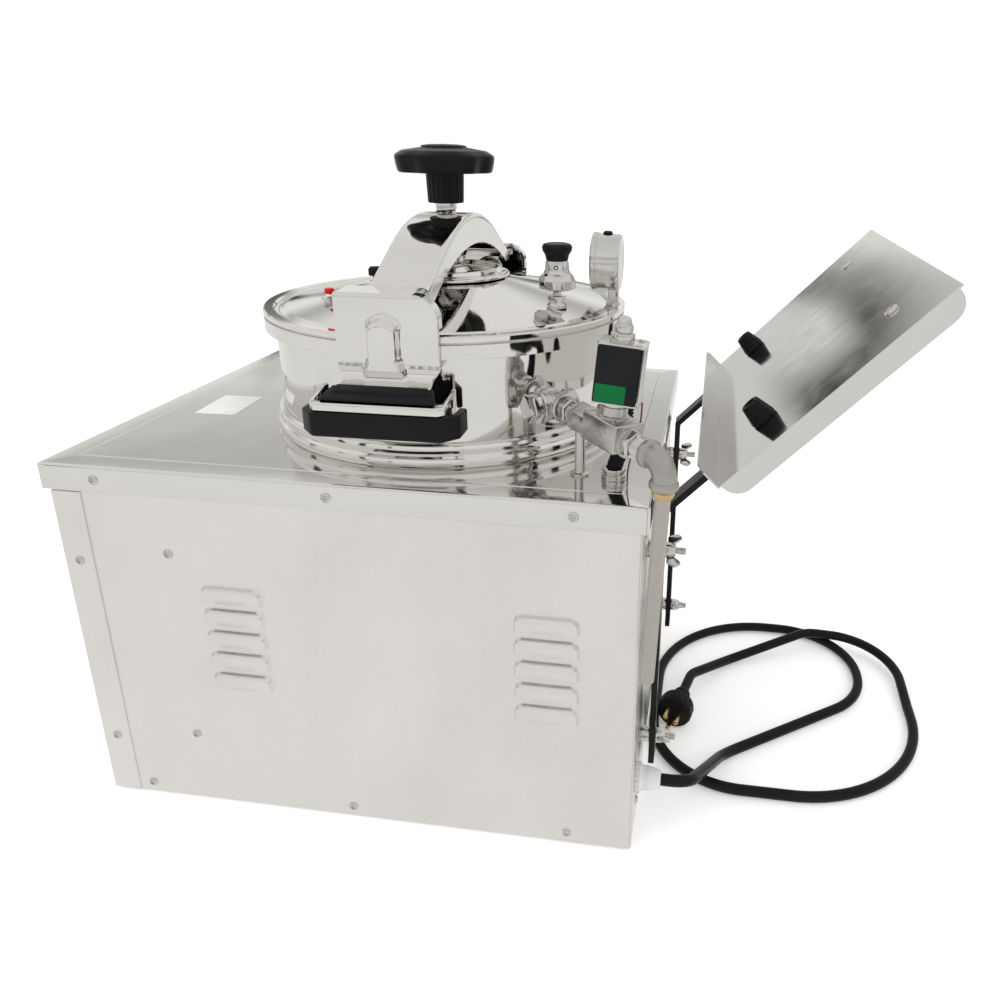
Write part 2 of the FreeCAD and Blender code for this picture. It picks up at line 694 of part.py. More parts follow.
def lid_boss():
    """The plate in the middle of the lid that takes the thrust of the screw."""
    return turned("lid_boss", [
        ("0", "bossTop - 3.98"), ("bossRadius - 4", "bossTop - 3.98"), ("bossRadius - 1", "bossTop - 2.5"),
        ("bossRadius", "bossTop - 1.5", "1"), ("bossRadius - 0.7", "bossTop"), ("45.5", "bossTop"),
        ("45", "bossTop + 5", "1"), ("43.5", "bossTop + 5"), ("40", "bossTop"), ("16", "bossTop"),
        ("14", "bossTop + 5"), ("0", "bossTop + 5"),
    ], "0", "potY", "0")


def beam_profile():
    """The beam's upper line in the XZ plane: a crown arc running into straight shoulders."""
    crown = size("beamCrown")
    arc = size("beamArc")
    slope = math.radians(BEAM_SLOPE)
    centre = Vector(0, 0, crown - arc)
    knee = centre + Vector(arc * math.sin(slope), 0, arc * math.cos(slope))
    run = size("beamEndX") - knee.x
    shoulder = knee + Vector(run, 0, -run * math.tan(slope))
    return crown, knee, shoulder


def beam_slab(drop, low):
    """The whole area under the upper line lowered by a drop, down to a level, one unit thick in Y."""
    crown, knee, shoulder = beam_profile()
    down = Vector(0, 0, -drop)
    mirrored = [Vector(-point.x, 0, point.z) for point in (shoulder, knee)]
    top = Part.Wire([
        Part.makeLine(mirrored[0] + down, mirrored[1] + down),
        Part.Arc(mirrored[1] + down, Vector(0, 0, crown) + down, knee + down).toShape(),
        Part.makeLine(knee + down, shoulder + down),
        Part.makeLine(shoulder + down, Vector(shoulder.x, 0, low)),
        Part.makeLine(Vector(shoulder.x, 0, low), Vector(-shoulder.x, 0, low)),
        Part.makeLine(Vector(-shoulder.x, 0, low), mirrored[0] + down),
    ])
    return Part.Face(top)


def clamp_beam():
    """The channel-section clamp beam, its feet reaching out under the ears."""
    half = size("beamWidth / 2")
    gauge = size("beamGauge")
    low = size("footTopZ") - 8.5
    outer = beam_slab(0, low).extrude(Vector(0, 2 * half, 0))
    outer.translate(Vector(0, -half, 0))
    rolled = [edge for edge in outer.Edges
              if edge.BoundBox.ZMin > size("footTopZ") - 6 and edge.BoundBox.YLength < 0.01
              and edge.BoundBox.XLength > 10]
    outer = outer.makeFillet(4.5, rolled)
    hollow = beam_slab(gauge, low - 20).extrude(Vector(0, 2 * half - 2 * gauge, 0))
    hollow.translate(Vector(0, -half + gauge, 0))
    channel = outer.cut(hollow)
    arch_rise = size("beamCrown") - 26 - low
    arch_half = 114
    arch_radius = (arch_half ** 2 + arch_rise ** 2) / (2 * arch_rise)
    arch_centre = Vector(0, -2 * half, low + arch_rise - arch_radius)
    arch = Part.makeCylinder(arch_radius, 4 * half, arch_centre, REARWARD)
    channel = channel.cut(arch)
    reach = size("footReach")
    start = size("beamEndX") - 8
    foot = Part.makeBox(reach - start, 2 * half - 1, 5, Vector(start, -half + 0.5, size("footTopZ") - 5))
    tips = [edge for edge in foot.Edges if edge.BoundBox.XMin > reach - 1e-6 and edge.BoundBox.ZLength > 1]
    foot = foot.makeFillet(3, tips)
    feet = both_sides(foot)
    bore = Part.makeCylinder(size("screwRadius") + 1.2, 60, Vector(0, 0, size("beamCrown") - 30))
    beam = channel.fuse(feet).cut(bore)
    return feature_of("clamp_beam", beam, about_pot(size("beamTurn")))


def beam_nut():
    """The long nut fixed under the crown of the beam."""
    top = size("beamCrown") - size("beamGauge") - 1.4
    nut = hexagon(34, 20)
    nut.translate(Vector(0, 0, top - 20))
    nut = nut.cut(Part.makeCylinder(size("screwRadius") + size("runClearance"), 60, Vector(0, 0, top - 40)))
    return feature_of("beam_nut", nut, about_pot(size("beamTurn")))


def thrust_cup():
    """The cup that the screw's ball end turns in; it presses on the boss."""
    tip = "screwRadius - 3"
    return turned("thrust_cup", [
        ("0", f"bossTop + 5 + {GAP}"), ("12", f"bossTop + 5 + {GAP}"), ("13", "bossTop + 7"),
        ("13", "bossTop + 14"), (f"{tip} + runClearance", "bossTop + 14"),
        (f"{tip} + runClearance", "bossTop + 8"), ("0", "bossTop + 8"),
    ], "0", "potY", "0")


def clamp_screw():
    """The screw, from its turned-down tip in the cup to inside the knob."""
    return turned("clamp_screw", [
        ("0", f"bossTop + 8 + {GAP}"), ("screwRadius - 3", f"bossTop + 8 + {GAP}"),
        ("screwRadius - 3", "bossTop + 15"), ("screwRadius - 1", "bossTop + 15"),
        ("screwRadius", "bossTop + 16"), ("screwRadius", "knobTop - 20"), ("0", "knobTop - 20"),
    ], "0", "potY", "0")


def knob():
    """The lobed hand knob on its fluted hub."""
    hub_low = size("knobHub")
    top = size("knobTop")
    radius = size("knobRadius")
    bore = size("screwRadius") + 0.02
    hub = [(bore, hub_low), (15.4, hub_low), (16.4, top - 22), (24, top - 19)]
    disc_edge = [(radius - 4, top - 21), (radius, top - 17), (radius, top - 11), (radius - 5, top - 6.5)]
    crown = [(20, top - 2.6), (18, top - 2.2), (17, top - 0.6), (8, top), (0, top)]
    socket = [(0, top - 19.9), (bore, top - 19.9)]
    corners = [Vector(x, 0, z) for x, z in hub + disc_edge + crown + socket]
    section = Part.makePolygon(corners + corners[:1])
    solid = Part.Face(section).revolve(Vector(0, 0, 0), UP, FULL_CIRCLE)
    for step in range(KNOB_LOBES):
        angle = math.radians((step + 0.5) * FULL_CIRCLE / KNOB_LOBES)
        centre = Vector((radius + 9) * math.cos(angle), (radius + 9) * math.sin(angle), top - 40)
        solid = solid.cut(Part.makeCylinder(12.5, 80, centre))
    for step in range(HUB_FLUTES):
        angle = math.radians(step * FULL_CIRCLE / HUB_FLUTES)
        centre = Vector(17.1 * math.cos(angle), 17.1 * math.sin(angle), hub_low - 1)
        solid = solid.cut(Part.makeCylinder(1.5, top - 21.5 - hub_low, centre))
    return feature_of("knob", solid, about_pot())


# ---------------------------------------------------------------- lid fittings

LID_SLOPE = "(bossTop - 4 - lidTop + 0.5) / (138 - bossRadius)"


def lid_height(x, y):
    """The height of the cone's outer surface at a point on the lid, as a formula."""
    radius = f"sqrt(({x}) * ({x}) + ({y} - potY) * ({y} - potY))"
    return f"lidTop - 0.5 + (138 - {radius}) * {LID_SLOPE}"


def relief_seat():
    """The nut and stem that the weighted relief valve sits on."""
    x = size("reliefX")
    y = size("reliefY")
    base = size(lid_height("reliefX", "reliefY"))
    nut = hexagon(13.5, 8)
    nut.translate(Vector(0, 0, 1))
    foot = Part.makeCylinder(8.2, 4, Vector(0, 0, -3)).fuse(nut).cut(lid_cone(x, y, base))
    stem = Part.makeCylinder(3.4, 33, Vector(0, 0, -10)).fuse(Part.makeCone(3.4, 1.5, 4, Vector(0, 0, 23)))
    seat = foot.fuse(stem).cut(Part.makeCylinder(1.2, 60, Vector(0, 0, -12)))
    return feature_of("relief_seat", seat, Placement(Vector(x, y, base), Rotation()))


def lid_cone(x, y, base):
    """Everything under the lid's outer cone, in the frame of a fitting that stands at a point on it."""
    top = size("lidTop") - 0.48
    return Part.makeCone(138, 0.5, 137.5 * size(LID_SLOPE), Vector(-x, size("potY") - y, top - base))


def relief_weight():
    """The bright weight: a faceted skirt, a waisted body and its side vent."""
    base = size(lid_height("reliefX", "reliefY"))
    bore = [(0, 27.1), (1.6, 27.1), (3.9, 22), (3.9, 14)]
    skirt = [(12, 14), (15.5, 15.5), (15.5, 22), (13, 26)]
    waist = [(11, 27.5), (9.2, 38), (0, 38)]
    corners = [Vector(x, 0, z) for x, z in bore + skirt + waist]
    profile = Part.makePolygon(corners + corners[:1])
    solid = Part.Face(profile).revolve(Vector(0, 0, 0), UP, FULL_CIRCLE)
    for step in range(12):
        flat = Part.makeBox(4, 30, 7.5, Vector(14.9, -15, 14))
        flat.rotate(Vector(0, 0, 0), UP, 30 * step)
        solid = solid.cut(flat)
    vent = Part.makeCylinder(1.2, 6, Vector(5, 0, 33), RIGHTWARD)
    vent.rotate(Vector(0, 0, 0), UP, 5)
    return feature_of("relief_weight", solid.cut(vent),
                      Placement(Vector(size("reliefX"), size("reliefY"), base), Rotation()))


def relief_cap():
    base = lid_height("reliefX", "reliefY")
    return turned("relief_cap", [
        ("0", "38.02"), ("9", "38.02"), ("9.8", "41.5"), ("12.2", "45.5"), ("12.4", "48", "2"),
        ("11", "50.5"), ("8", "51.3"), ("0", "50.9"),
    ], "reliefX", "reliefY", base)


def float_seat():
    base = lid_height("floatX", "floatY")
    return turned("float_seat", [
        ("1.58", "-4"), ("4.8", "-4"), ("4.8", "1.6"), ("6.5", "1.6"), ("6.5", "3.2"), ("1.58", "3.2"),
    ], "floatX", "floatY", f"{base} + 0.2")


def float_pin():
    """The coloured pin that rises with the pressure; its foot hangs below the lid."""
    base = lid_height("floatX", "floatY")
    return turned("float_pin", [
        ("0", "-14"), ("3.5", "-14"), ("3.5", "-12"), ("1.5", "-11.5"), ("1.5", "3.6"), ("3.2", "4.2"),
        ("3.2", "6.4"), ("3.8", "6.6"), ("3.8", "9.6"), ("3", "10.4"), ("0", "10.4"),
    ], "floatX", "floatY", f"{base} + 0.2")


def safety_plug():
    """The rubber over-pressure plug, pulled through its hole in the lid."""
    base = lid_height("plugX", "plugY")
    return turned("safety_plug", [
        ("0", "-5"), ("2.9", "-5"), ("2.9", "1.7"), ("6.5", "1.7"), ("6.5", "7"), ("5", "9"), ("0", "9"),
    ], "plugX", "plugY", base)


def gauge_frame():
    """The gauge's own frame: local Z points out of the dial, towards the operator."""
    spot = Vector(size("gaugeX"), size("gaugeY") - 19, size("gaugeZ"))
    return Placement(spot, Rotation(Vector(1, 0, 0), 90))


def gauge_case():
    """A drum case with a rolled bezel, a rubber vent plug's seat on top and a threaded stem below."""
    radius = size("gaugeRadius")
    deep = size("gaugeDepth")
    drum = Part.makeCylinder(radius - 1, deep, Vector(0, 0, -deep))
    bezel = Part.makeCylinder(radius, 5, Vector(0, 0, -5))
    bezel = bezel.makeFillet(1.6, bezel.Edges[:1] + bezel.Edges[2:])
    hollow = Part.makeCylinder(radius - 3, 10, Vector(0, 0, -8))
    stem_low = size("lidTop") - size("gaugeZ") - 6
    stem = Part.makeCylinder(3.2, -radius - stem_low - 6, Vector(0, stem_low + 6.02, -19), Vector(0, 1, 0))
    tail = Part.makeCylinder(2.4, 8, Vector(0, stem_low, -19), Vector(0, 1, 0))
    block = Part.makeBox(9, 12, 9, Vector(-4.5, -radius - 9, -23.5))
    case = drum.fuse([bezel]).cut(hollow)
    outside = stem.fuse([tail, block]).cut(Part.makeCylinder(radius - 2, deep, Vector(0, 0, -deep)))
    vent = Part.makeCylinder(3.4, 3, Vector(0, radius - 2.4, -13), Vector(0, 1, 0))
    return feature_of("gauge_case", case.fuse([outside, vent]), gauge_frame())


def gauge_dial():
    radius = size("gaugeRadius")
    dial = Part.makeCylinder(radius - 3.1, 1, Vector(0, 0, -7.95))
    pivot = Part.makeCylinder(0.8, 2.4, Vector(0, 0, -6.95))
    return feature_of("gauge_dial", dial.fuse(pivot), gauge_frame())


def gauge_needle():
    """The pointer, resting at the low stop, on its own hub over the pivot."""
    hub = Part.makeCylinder(2.2, 1.2, Vector(0, 0, -6.3))
    tail_left = Vector(-1.1, 5, 0)
    edge = Part.makePolygon([tail_left, Vector(0, -16, 0), Vector(1.1, 5, 0), tail_left])
    blade = Part.Face(edge).extrude(Vector(0, 0, 0.6))
    blade.translate(Vector(0, 0, -6))
    needle = hub.fuse(blade).cut(Part.makeCylinder(0.85, 4, Vector(0, 0, -8)))
    needle.rotate(Vector(0, 0, 0), Vector(0, 0, 1), -45)
    return feature_of("gauge_needle", needle, gauge_frame())


def gauge_glass():
    glass = Part.makeCylinder(size("gaugeRadius") - 3.1, 1.6, Vector(0, 0, -3))
    return feature_of("gauge_glass", glass, gauge_frame())


# ---------------------------------------------------------------- exhaust line

def exhaust_frame():
    """Frame of the exhaust line: local X runs out along the pipe, local Z stays nearly upright."""
    turn = math.radians(size("portTurn"))
    wall = size("potRadius")
    port = Vector(wall * math.cos(turn), size("potY") + wall * math.sin(turn), size("portZ"))
    lean = Rotation(Vector(0, 0, 1), size("portTurn")).multiply(Rotation(Vector(0, 1, 0), size("portDroop")))
    return Placement(port, lean)


def along(radius, start, finish, hole=0):
    """A round piece on the pipe's axis, bored through if a hole is given."""
    bar = Part.makeCylinder(radius, finish - start, Vector(start, 0, 0), Vector(1, 0, 0))
    if hole:
        bar = bar.cut(Part.makeCylinder(hole, finish - start + 2, Vector(start - 1, 0, 0), Vector(1, 0, 0)))
    return bar


def hex_along(across, start, finish):
    """A hexagonal piece on the pipe's axis."""
    bar = hexagon(across, finish - start)
    bar.rotate(Vector(0, 0, 0), Vector(0, 1, 0), 90)
    bar.translate(Vector(start, 0, 0))
    return bar


def exhaust_nipples():
    """The threaded fittings that join the line: wall boss, two nipples and the cross plug."""
    pipe = size("pipeRadius")
    wall = Part.makeCylinder(size("potRadius") + 0.02, 200, Vector(0, size("potY"), 250))
    boss = along(pipe + 2.4, -4, 7, pipe - 2).fuse(along(pipe, 6, 11, pipe - 2))
    boss.Placement = exhaust_frame()
    boss = boss.cut(wall)
    boss.transformShape(exhaust_frame().inverse().toMatrix(), True)
    inlet = hex_along(17, 36, 43).fuse(along(pipe, 33.6, 58, 0)).cut(along(pipe - 2, 30, 60))
    outlet = along(pipe, 104, 131, pipe - 2).fuse(hex_along(18, 111, 119)).cut(along(pipe - 2, 100, 135))
    plug = hexagon(19, 11)
    plug.rotate(Vector(0, 0, 0), Vector(1, 0, 0), 90)
    plug.translate(Vector(22, -15.02, 0))
    return feature_of("exhaust_nipples", Part.makeCompound([boss, inlet, outlet, plug]), exhaust_frame())


def exhaust_cross():
    """The four-way fitting at the pot wall, banded at each mouth."""
    pipe = size("pipeRadius")
    body = along(9, 12, 32).fuse([along(10.6, 11.02, 15), along(10.6, 29, 33.5)])
    for direction in (Vector(0, -1, 0), Vector(0, 1, 0), Vector(0, 0, -1)):
        start = Vector(22, 0, 0)
        mouth = start + direction * 11
        branch = Part.makeCylinder(9, 14, start, direction)
        band = Part.makeCylinder(10.6, 4, mouth, direction)
        body = body.fuse([branch, band])
    return feature_of("exhaust_cross", body.cut(along(pipe - 2, 5, 40)), exhaust_frame())


def valve_frame():
    """Frame of the valve: the line's own frame moved to the coil's axis and leaned about the pipe."""
    middle = Placement(Vector(size("valveAlong"), 0, 0), Rotation(Vector(1, 0, 0), size("valveLean")))
    return exhaust_frame().multiply(middle)


def coil_frame():
    """Frame of the coil: it sits on the valve's upright axis, square to the cabinet."""
    return valve_frame().multiply(Placement(Vector(0, 0, 0), Rotation(Vector(0, 0, 1), -size("portTurn"))))


def valve_body():
    """The square valve body with its hexagonal inlet, and a raised arrow showing which way the flow goes."""
    pipe = size("pipeRadius")
    face = -13
    block = Part.makeBox(38, 2 * abs(face), 21, Vector(-18, face, -8))
    block = block.makeFillet(1.5, [edge for edge in block.Edges if edge.BoundBox.XLength > 1])
    inlet = hex_along(22, -37, -17)
    throat = Part.makeCylinder(10, size("coilBase") - 15.5, Vector(0, 0, 12.5))
    arrow = Part.Face(Part.makePolygon([
        Vector(-7, face + 0.3, 3.3), Vector(4, face + 0.3, 3.3), Vector(4, face + 0.3, 0.8),
        Vector(10, face + 0.3, 4.5), Vector(4, face + 0.3, 8.2), Vector(4, face + 0.3, 5.7),
        Vector(-7, face + 0.3, 5.7), Vector(-7, face + 0.3, 3.3),
    ])).extrude(Vector(0, -0.8, 0))
    body = block.fuse([inlet, throat, arrow])
    bores = [along(pipe + 0.02, -38, -14), along(pipe + 0.02, 13.9, 30), along(3, -20, 20),
             Part.makeCylinder(5, 24, Vector(0, 0, 2))]
    for bore in bores:
        body = body.cut(bore)
    return feature_of("valve_body", body, valve_frame())


def coil_bore():
    """Clearance for the guide tube through the coil and yoke."""
    return Part.makeCylinder(5.6, 80)


def solenoid_tube():
    """The closed guide tube that the plunger runs in, flanged at the foot and threaded on top."""
    foot = size("coilBase") - 2.98
    top = size("coilBase + coilTall")
    outer = Part.makeCylinder(5.5, top + 9 - foot, Vector(0, 0, foot))
    flange = Part.makeCylinder(9, 2.5, Vector(0, 0, foot))
    bore = Part.makeCylinder(4.5, top - foot, Vector(0, 0, foot - 0.02))
    return feature_of("solenoid_tube", outer.fuse(flange).cut(bore), valve_frame())


def solenoid_plunger():
    """The sliding iron plunger, resting on the valve seat under the coil."""
    shoulder = size("coilBase") - 2.7
    rod = Part.makeCylinder(4.4, size("coilTall") - 8, Vector(0, 0, shoulder))
    nose = Part.makeCone(2.5, 4.4, 8, Vector(0, 0, shoulder - 8))
    return feature_of("solenoid_plunger", rod.fuse(nose), valve_frame())


def solenoid_coil():
    """The moulded coil, square with rounded uprights, with the stub where its wires leave."""
    half = size("coilWide / 2")
    low = size("coilBase") + 1.6
    box = Part.makeBox(2 * half, 2 * half, size("coilTall") - 3.2, Vector(-half, -half, low))
    box = box.makeFillet(2, [edge for edge in box.Edges if edge.BoundBox.ZLength > 5])
    entry = Part.makeCylinder(4, 6, Vector(1 - half, 3, low + 9), Vector(-1, 0, 0))
    return feature_of("solenoid_coil", box.fuse(entry).cut(coil_bore()), coil_frame())


def solenoid_yoke():
    """The folded steel yoke that wraps the coil: foot, back and top."""
    low = size("coilBase")
    tall = size("coilTall")
    half = size("coilWide / 2")
    foot = Part.makeBox(26, 2 * half + 3, 1.5, Vector(-13, -half, low))
    top = Part.makeBox(26, 2 * half + 3, 1.5, Vector(-13, -half, low + tall - 1.5))
    back = Part.makeBox(26, 1.5, tall, Vector(-13, half + 1.5, low))
    return feature_of("solenoid_yoke", foot.fuse([top, back]).cut(coil_bore()), coil_frame())


def coil_nut():
    """The lock nut on the yoke and the domed nut above it."""
    base = size("coilBase + coilTall") + 0.05
    lock = hexagon(15, 6)
    neck = Part.makeCylinder(5.8, 7)
    dome = Part.makeSphere(5.8, Vector(0, 0, 12)).fuse(Part.makeCylinder(5.8, 6, Vector(0, 0, 6)))
    cap = hexagon(11.8, 5)
    cap.translate(Vector(0, 0, 6.5))
    nut = lock.fuse([neck, dome, cap])
    nut.translate(Vector(0, 0, base))
    thread = Part.makeCylinder(5.55, 9.1, Vector(0, 0, base - 0.05))
    return feature_of("coil_nut", nut.cut(thread), valve_frame())


def exhaust_elbow():
    """The cast elbow that turns the line down, banded at both mouths, and its brass olive."""
    end = size("exhaustLength")
    turn = 13
    bend = Part.makeTorus(turn, 8.3, Vector(end - turn, 0, -turn), Vector(0, 1, 0), 0, 360, 90)
    bend = bend.common(Part.makeBox(40, 40, 40, Vector(end - turn, -20, -turn)))
    mouth_in = along(9.6, end - turn - 6, end - turn + 0.5)
    mouth_out = Part.makeCylinder(9.6, 6, Vector(end, 0, -turn - 6))
    inside = along(size("pipeRadius") + 0.02, end - turn - 7, end - turn - 0.5)
    drop_bore = Part.makeCylinder(5.6, 9, Vector(end, 0, -turn - 7))
    elbow = bend.fuse([mouth_in, mouth_out]).cut(inside).cut(drop_bore)
    return feature_of("exhaust_elbow", elbow, exhaust_frame())


def drop_pipe():
    """The thin drop pipe, with the olive that seals it under the elbow."""
    end = size("exhaustLength")
    low = -size("dropLength")
    pipe = Part.makeCylinder(5.5, -13 - low, Vector(end, 0, low))
    olive = Part.makeCone(6.6, 7.4, 4.5, Vector(end, 0, -23.7))
    bore = Part.makeCylinder(4, 300, Vector(end, 0, -280))
    return feature_of("drop_pipe", pipe.fuse(olive).cut(bore), exhaust_frame())


def valve_post():
    """The post that carries the exhaust line off the cover, under the inlet nipple."""
    spot = Vector(size("postX"), size("postY"), size("coverTop") + 0.02)
    post = Part.makeCylinder(4, 60, spot)
    foot = Part.makeCylinder(7.5, 2, spot)
    pipe = along(size("pipeRadius") + 0.02, 0, 140)
    clear = pipe.fuse([hex_along(17.1, 35.9, 43.1), along(10.65, 10, 33.6), along(14, 52.8, 120)])
    clear.Placement = exhaust_frame()
    above = Part.makeBox(40, 40, 60, Vector(size("postX") - 20, size("postY") - 20, size("portZ") - 4))
    return feature_of("valve_post", post.fuse(foot).cut(clear).cut(above))


def conduit():
    """The corrugated conduit that takes the coil's wires down through the cover."""
    entry = size("coilBase") + 10.6
    hole = Vector(size("conduitX"), size("conduitY"), size("coverTop"))
    behind_valve = exhaust_frame().multVec(Vector(size("valveAlong") - 10, 20, -17))
    beside_coil = [coil_frame().multVec(Vector(*spot)) for spot in
                   ((-33, 6, entry - 16), (-33, 3, entry), (-20.4, 3, entry))]
    path = [
        (hole + Vector(0, 0, -12), 0), (hole + Vector(0, 0, 8), 12), (behind_valve, 12),
        (beside_coil[0], 14), (beside_coil[1], 8), (beside_coil[2], 0),
    ]
    return feature_of("conduit", bent_bar(path, 4.6))


# ---------------------------------------------------------------- shelf behind the cabinet

def shelf_frame():
    """Frame of the shelf: local X across, local Y up the slope, local Z out of its upper face."""
    spot = Vector(0, size("shelfLowY"), size("shelfLowZ"))
    return Placement(spot, Rotation(Vector(1, 0, 0), size("shelfSlope")))


def shelf_panel():
    """The sloping tray: a lip along its low edge and round-ended flanges folded back at its sides."""
    half = size("shelfHalf")
    long = size("shelfLong")
    gauge = size("panelGauge")
    side = size("shelfSide")
    lip = size("shelfLip")
    sheet = Part.makeBox(2 * half, long, gauge, Vector(-half, 0, -gauge))
    front = Part.makeBox(2 * half, gauge, lip + gauge, Vector(-half, 0, -gauge))
    front_corners = [edge for edge in front.Edges if edge.BoundBox.YLength > 0.5 * gauge
                     and edge.BoundBox.ZMin > 0 and edge.BoundBox.XLength < 1e-6]
    front = front.makeFillet(9, front_corners)
    flange = Part.makeBox(gauge, long - 6, side, Vector(-half, 3, -side))
    flange_corners = [edge for edge in flange.Edges if edge.BoundBox.XLength > 0.5 * gauge
                      and edge.BoundBox.YLength < 1e-6 and edge.BoundBox.ZMax < -side + 1e-3]
    flanges = both_sides(flange.makeFillet(side - 2, flange_corners))
    tray = sheet.fuse([front] + flanges)
    for x in (-1, 1):
        for up in SHELF_FIXINGS:
            tray = tray.cut(Part.makeCylinder(3, 10, Vector(x * size("shelfFixX"), up, -5)))
    return feature_of("shelf_panel", tray.removeSplitter(), shelf_frame())


def shelf_feet():
    """Two tapered rubber feet near the low edge, hollow at the top, held by their screws."""
    foot = Part.makeCone(10.5, 7.3, 17, Vector(0, 0, 0.02)).cut(Part.makeCylinder(4.5, 7, Vector(0, 0, 11)))
    pair = spots(foot, left_and_right(size("shelfFixX"), SHELF_FIXINGS[0], 0, UP))
    return feature_of("shelf_feet", pair, shelf_frame())


def shelf_arms():
    """Two bent flat bars: upright behind the cabinet, then sloping under the shelf."""
    gauge = size("armGauge")
    face = size("armFace")
    slope = math.radians(size("shelfSlope"))
    along_slope = Vector(0, math.cos(slope), math.sin(slope))
    normal = Vector(0, -math.sin(slope), math.cos(slope))
    low_edge = Vector(0, size("shelfLowY"), size("shelfLowZ"))
    upper = low_edge - normal * (size("panelGauge") + 0.02)
    under = upper - normal * gauge
    bend_top = upper + along_slope * ((face - upper.y) / along_slope.y)
    bend_under = under + along_slope * ((face + gauge - under.y) / along_slope.y)
    tip = 178
    bottom = size("armBottom")
    outline_points = [Vector(0, face, bottom), Vector(0, face + gauge, bottom), bend_under,
                      under + along_slope * tip, upper + along_slope * tip, bend_top]
    bars = []
    for side in (-1, 1):
        face_wire = Part.makePolygon(outline_points + outline_points[:1])
        bar = Part.Face(face_wire).extrude(Vector(size("armWidth"), 0, 0))
        bar.translate(Vector(side * size("armX") - size("armWidth / 2"), 0, 0))
        bars.append(bar.cut(stud_holes(side)))
    return feature_of("shelf_arms", Part.makeCompound(bars))


def stud_holes(side):
    """Clearance for the studs and shelf screws of one arm."""
    x = side * size("armX")
    holes = [Part.makeCylinder(3.05, 30, Vector(x, size("armFace") - 10, level), REARWARD)
             for level in STUD_HEIGHTS]
    for up in SHELF_FIXINGS:
        screw = Part.makeCylinder(3, 30)
        below = Placement(Vector(side * size("shelfFixX"), up, -20), Rotation())
        screw.Placement = shelf_frame().multiply(below)
        holes.append(screw)
    return holes[0].fuse(holes[1:])


def shelf_screws():
    """The four screws that hold the shelf to the arms, with their nuts below."""
    low = -(size("panelGauge") + size("armGauge") + 0.04)
    button = Part.makeCylinder(5.5, 2.6, Vector(0, 0, 0.02))
    button = button.makeFillet(1.6, [edge for edge in button.Edges if edge.BoundBox.ZMin > 2.5])
    shank = Part.makeCylinder(2.9, 0.5 - low + 3, Vector(0, 0, low - 3))
    nut = hexagon(10, 4)
    nut.translate(Vector(0, 0, low - 4.0))
    plain = shank.fuse([button, nut])
    inside_foot = Part.makeCylinder(2.9, 0.01 - low + 3, Vector(0, 0, low - 3)).fuse(nut)
    x = size("shelfFixX")
    lower = spots(inside_foot, left_and_right(x, SHELF_FIXINGS[0], 0, UP))
    upper = spots(plain, left_and_right(x, SHELF_FIXINGS[1], 0, UP))
    return feature_of("shelf_screws", Part.makeCompound(lower.Solids + upper.Solids), shelf_frame())


def arm_studs():
    """Stand-off studs from the rear panel, one behind each wing nut."""
    spacing = size("armFace - bodyDepth / 2") - 0.04
    stud = Part.makeCylinder(7, spacing).fuse(Part.makeCylinder(3, spacing + 22))
    rear = size("bodyDepth / 2") + 0.02
    places = [place for level in STUD_HEIGHTS for place in left_and_right(size("armX"), rear, level, REARWARD)]
    return feature_of("arm_studs", spots(stud, places))


def wing_nuts():
    """Wing nuts on the studs, clamping the arms."""
    hub = Part.makeCone(6.5, 5, 9)
    wing = Part.makeBox(12, 2.6, 13, Vector(3.5, -1.3, 2))
    tips = [edge for edge in wing.Edges if edge.BoundBox.YLength > 1 and edge.BoundBox.ZMin > 14
            and edge.BoundBox.XMin > 15]
    nut = hub.fuse(both_sides(wing.makeFillet(5, tips)))
    nut = nut.cut(Part.makeCylinder(3.02, 20, Vector(0, 0, -1)))
    face = size("armFace") + size("armGauge") + 0.02
    places = [place for level in STUD_HEIGHTS for place in left_and_right(size("armX"), face, level, REARWARD)]
    return feature_of("wing_nuts", spots(nut, places))


# ---------------------------------------------------------------- mains lead

def cable_gland():
    """The strain relief where the lead enters the rear panel."""
    rear = size("bodyDepth / 2")
    spot = Vector(size("glandX"), rear, size("glandZ"))
    back = Vector(0, 1, 0)
    inside = Part.makeCylinder(8.9, 8.1, spot - back * 8, back)
    collar = Part.makeCylinder(12, 5, spot + back * 0.02, back)
    cone = Part.makeCone(9.5, 7.2, 16, spot + back * 5, back)
    nut = hexagon(24, 4)
    nut.Placement = Placement(spot - back * 7, Rotation(Vector(0, 0, 1), back))
    gland = inside.fuse([collar, cone, nut])
    bore = Part.makeCylinder(size("cableRadius") + 0.05, 60, spot - back * 30, back)
    return feature_of("cable_gland", gland.cut(bore))


def lead_path():
    """The mains lead as (corner, bend radius): from the gland, through two loose loops, to the plug."""
    rest = size("cableRadius") + 0.3
    over = 3 * rest + 1
    gland = Vector(size("glandX"), size("bodyDepth / 2") - 8, size("glandZ"))
    fall = [(gland, 0), (gland + Vector(0, 52, 0), 20), (Vector(62, 305, rest), 50)]
    first_loop = [(Vector(-48, 451, rest), 75), (Vector(-169, 451, rest), 80), (Vector(-169, 237, rest), 119)]
    second_loop = [(Vector(106, 237, rest), 85), (Vector(106, 495, rest), 129), (Vector(-40, 495, rest), 90),
                   (Vector(-148, 495, over - 3), 68), (Vector(-148, 400, over), 40)]
    behind_plug = [plug_frame().multVec(Vector(0, 0, back)) for back in (-70, -30)]
    tail = [(Vector(-95, 312, rest + 0.1), 40), (behind_plug[0], 28), (behind_plug[1], 0)]
    return fall + first_loop + second_loop + tail


def plug_frame():
    """Frame of the plug, lying on the bench: local Z runs out through its pins."""
    spot = Vector(24, 256, 17.2)
    return Placement(spot, Rotation(UP, Vector(1, -0.22, 0)))


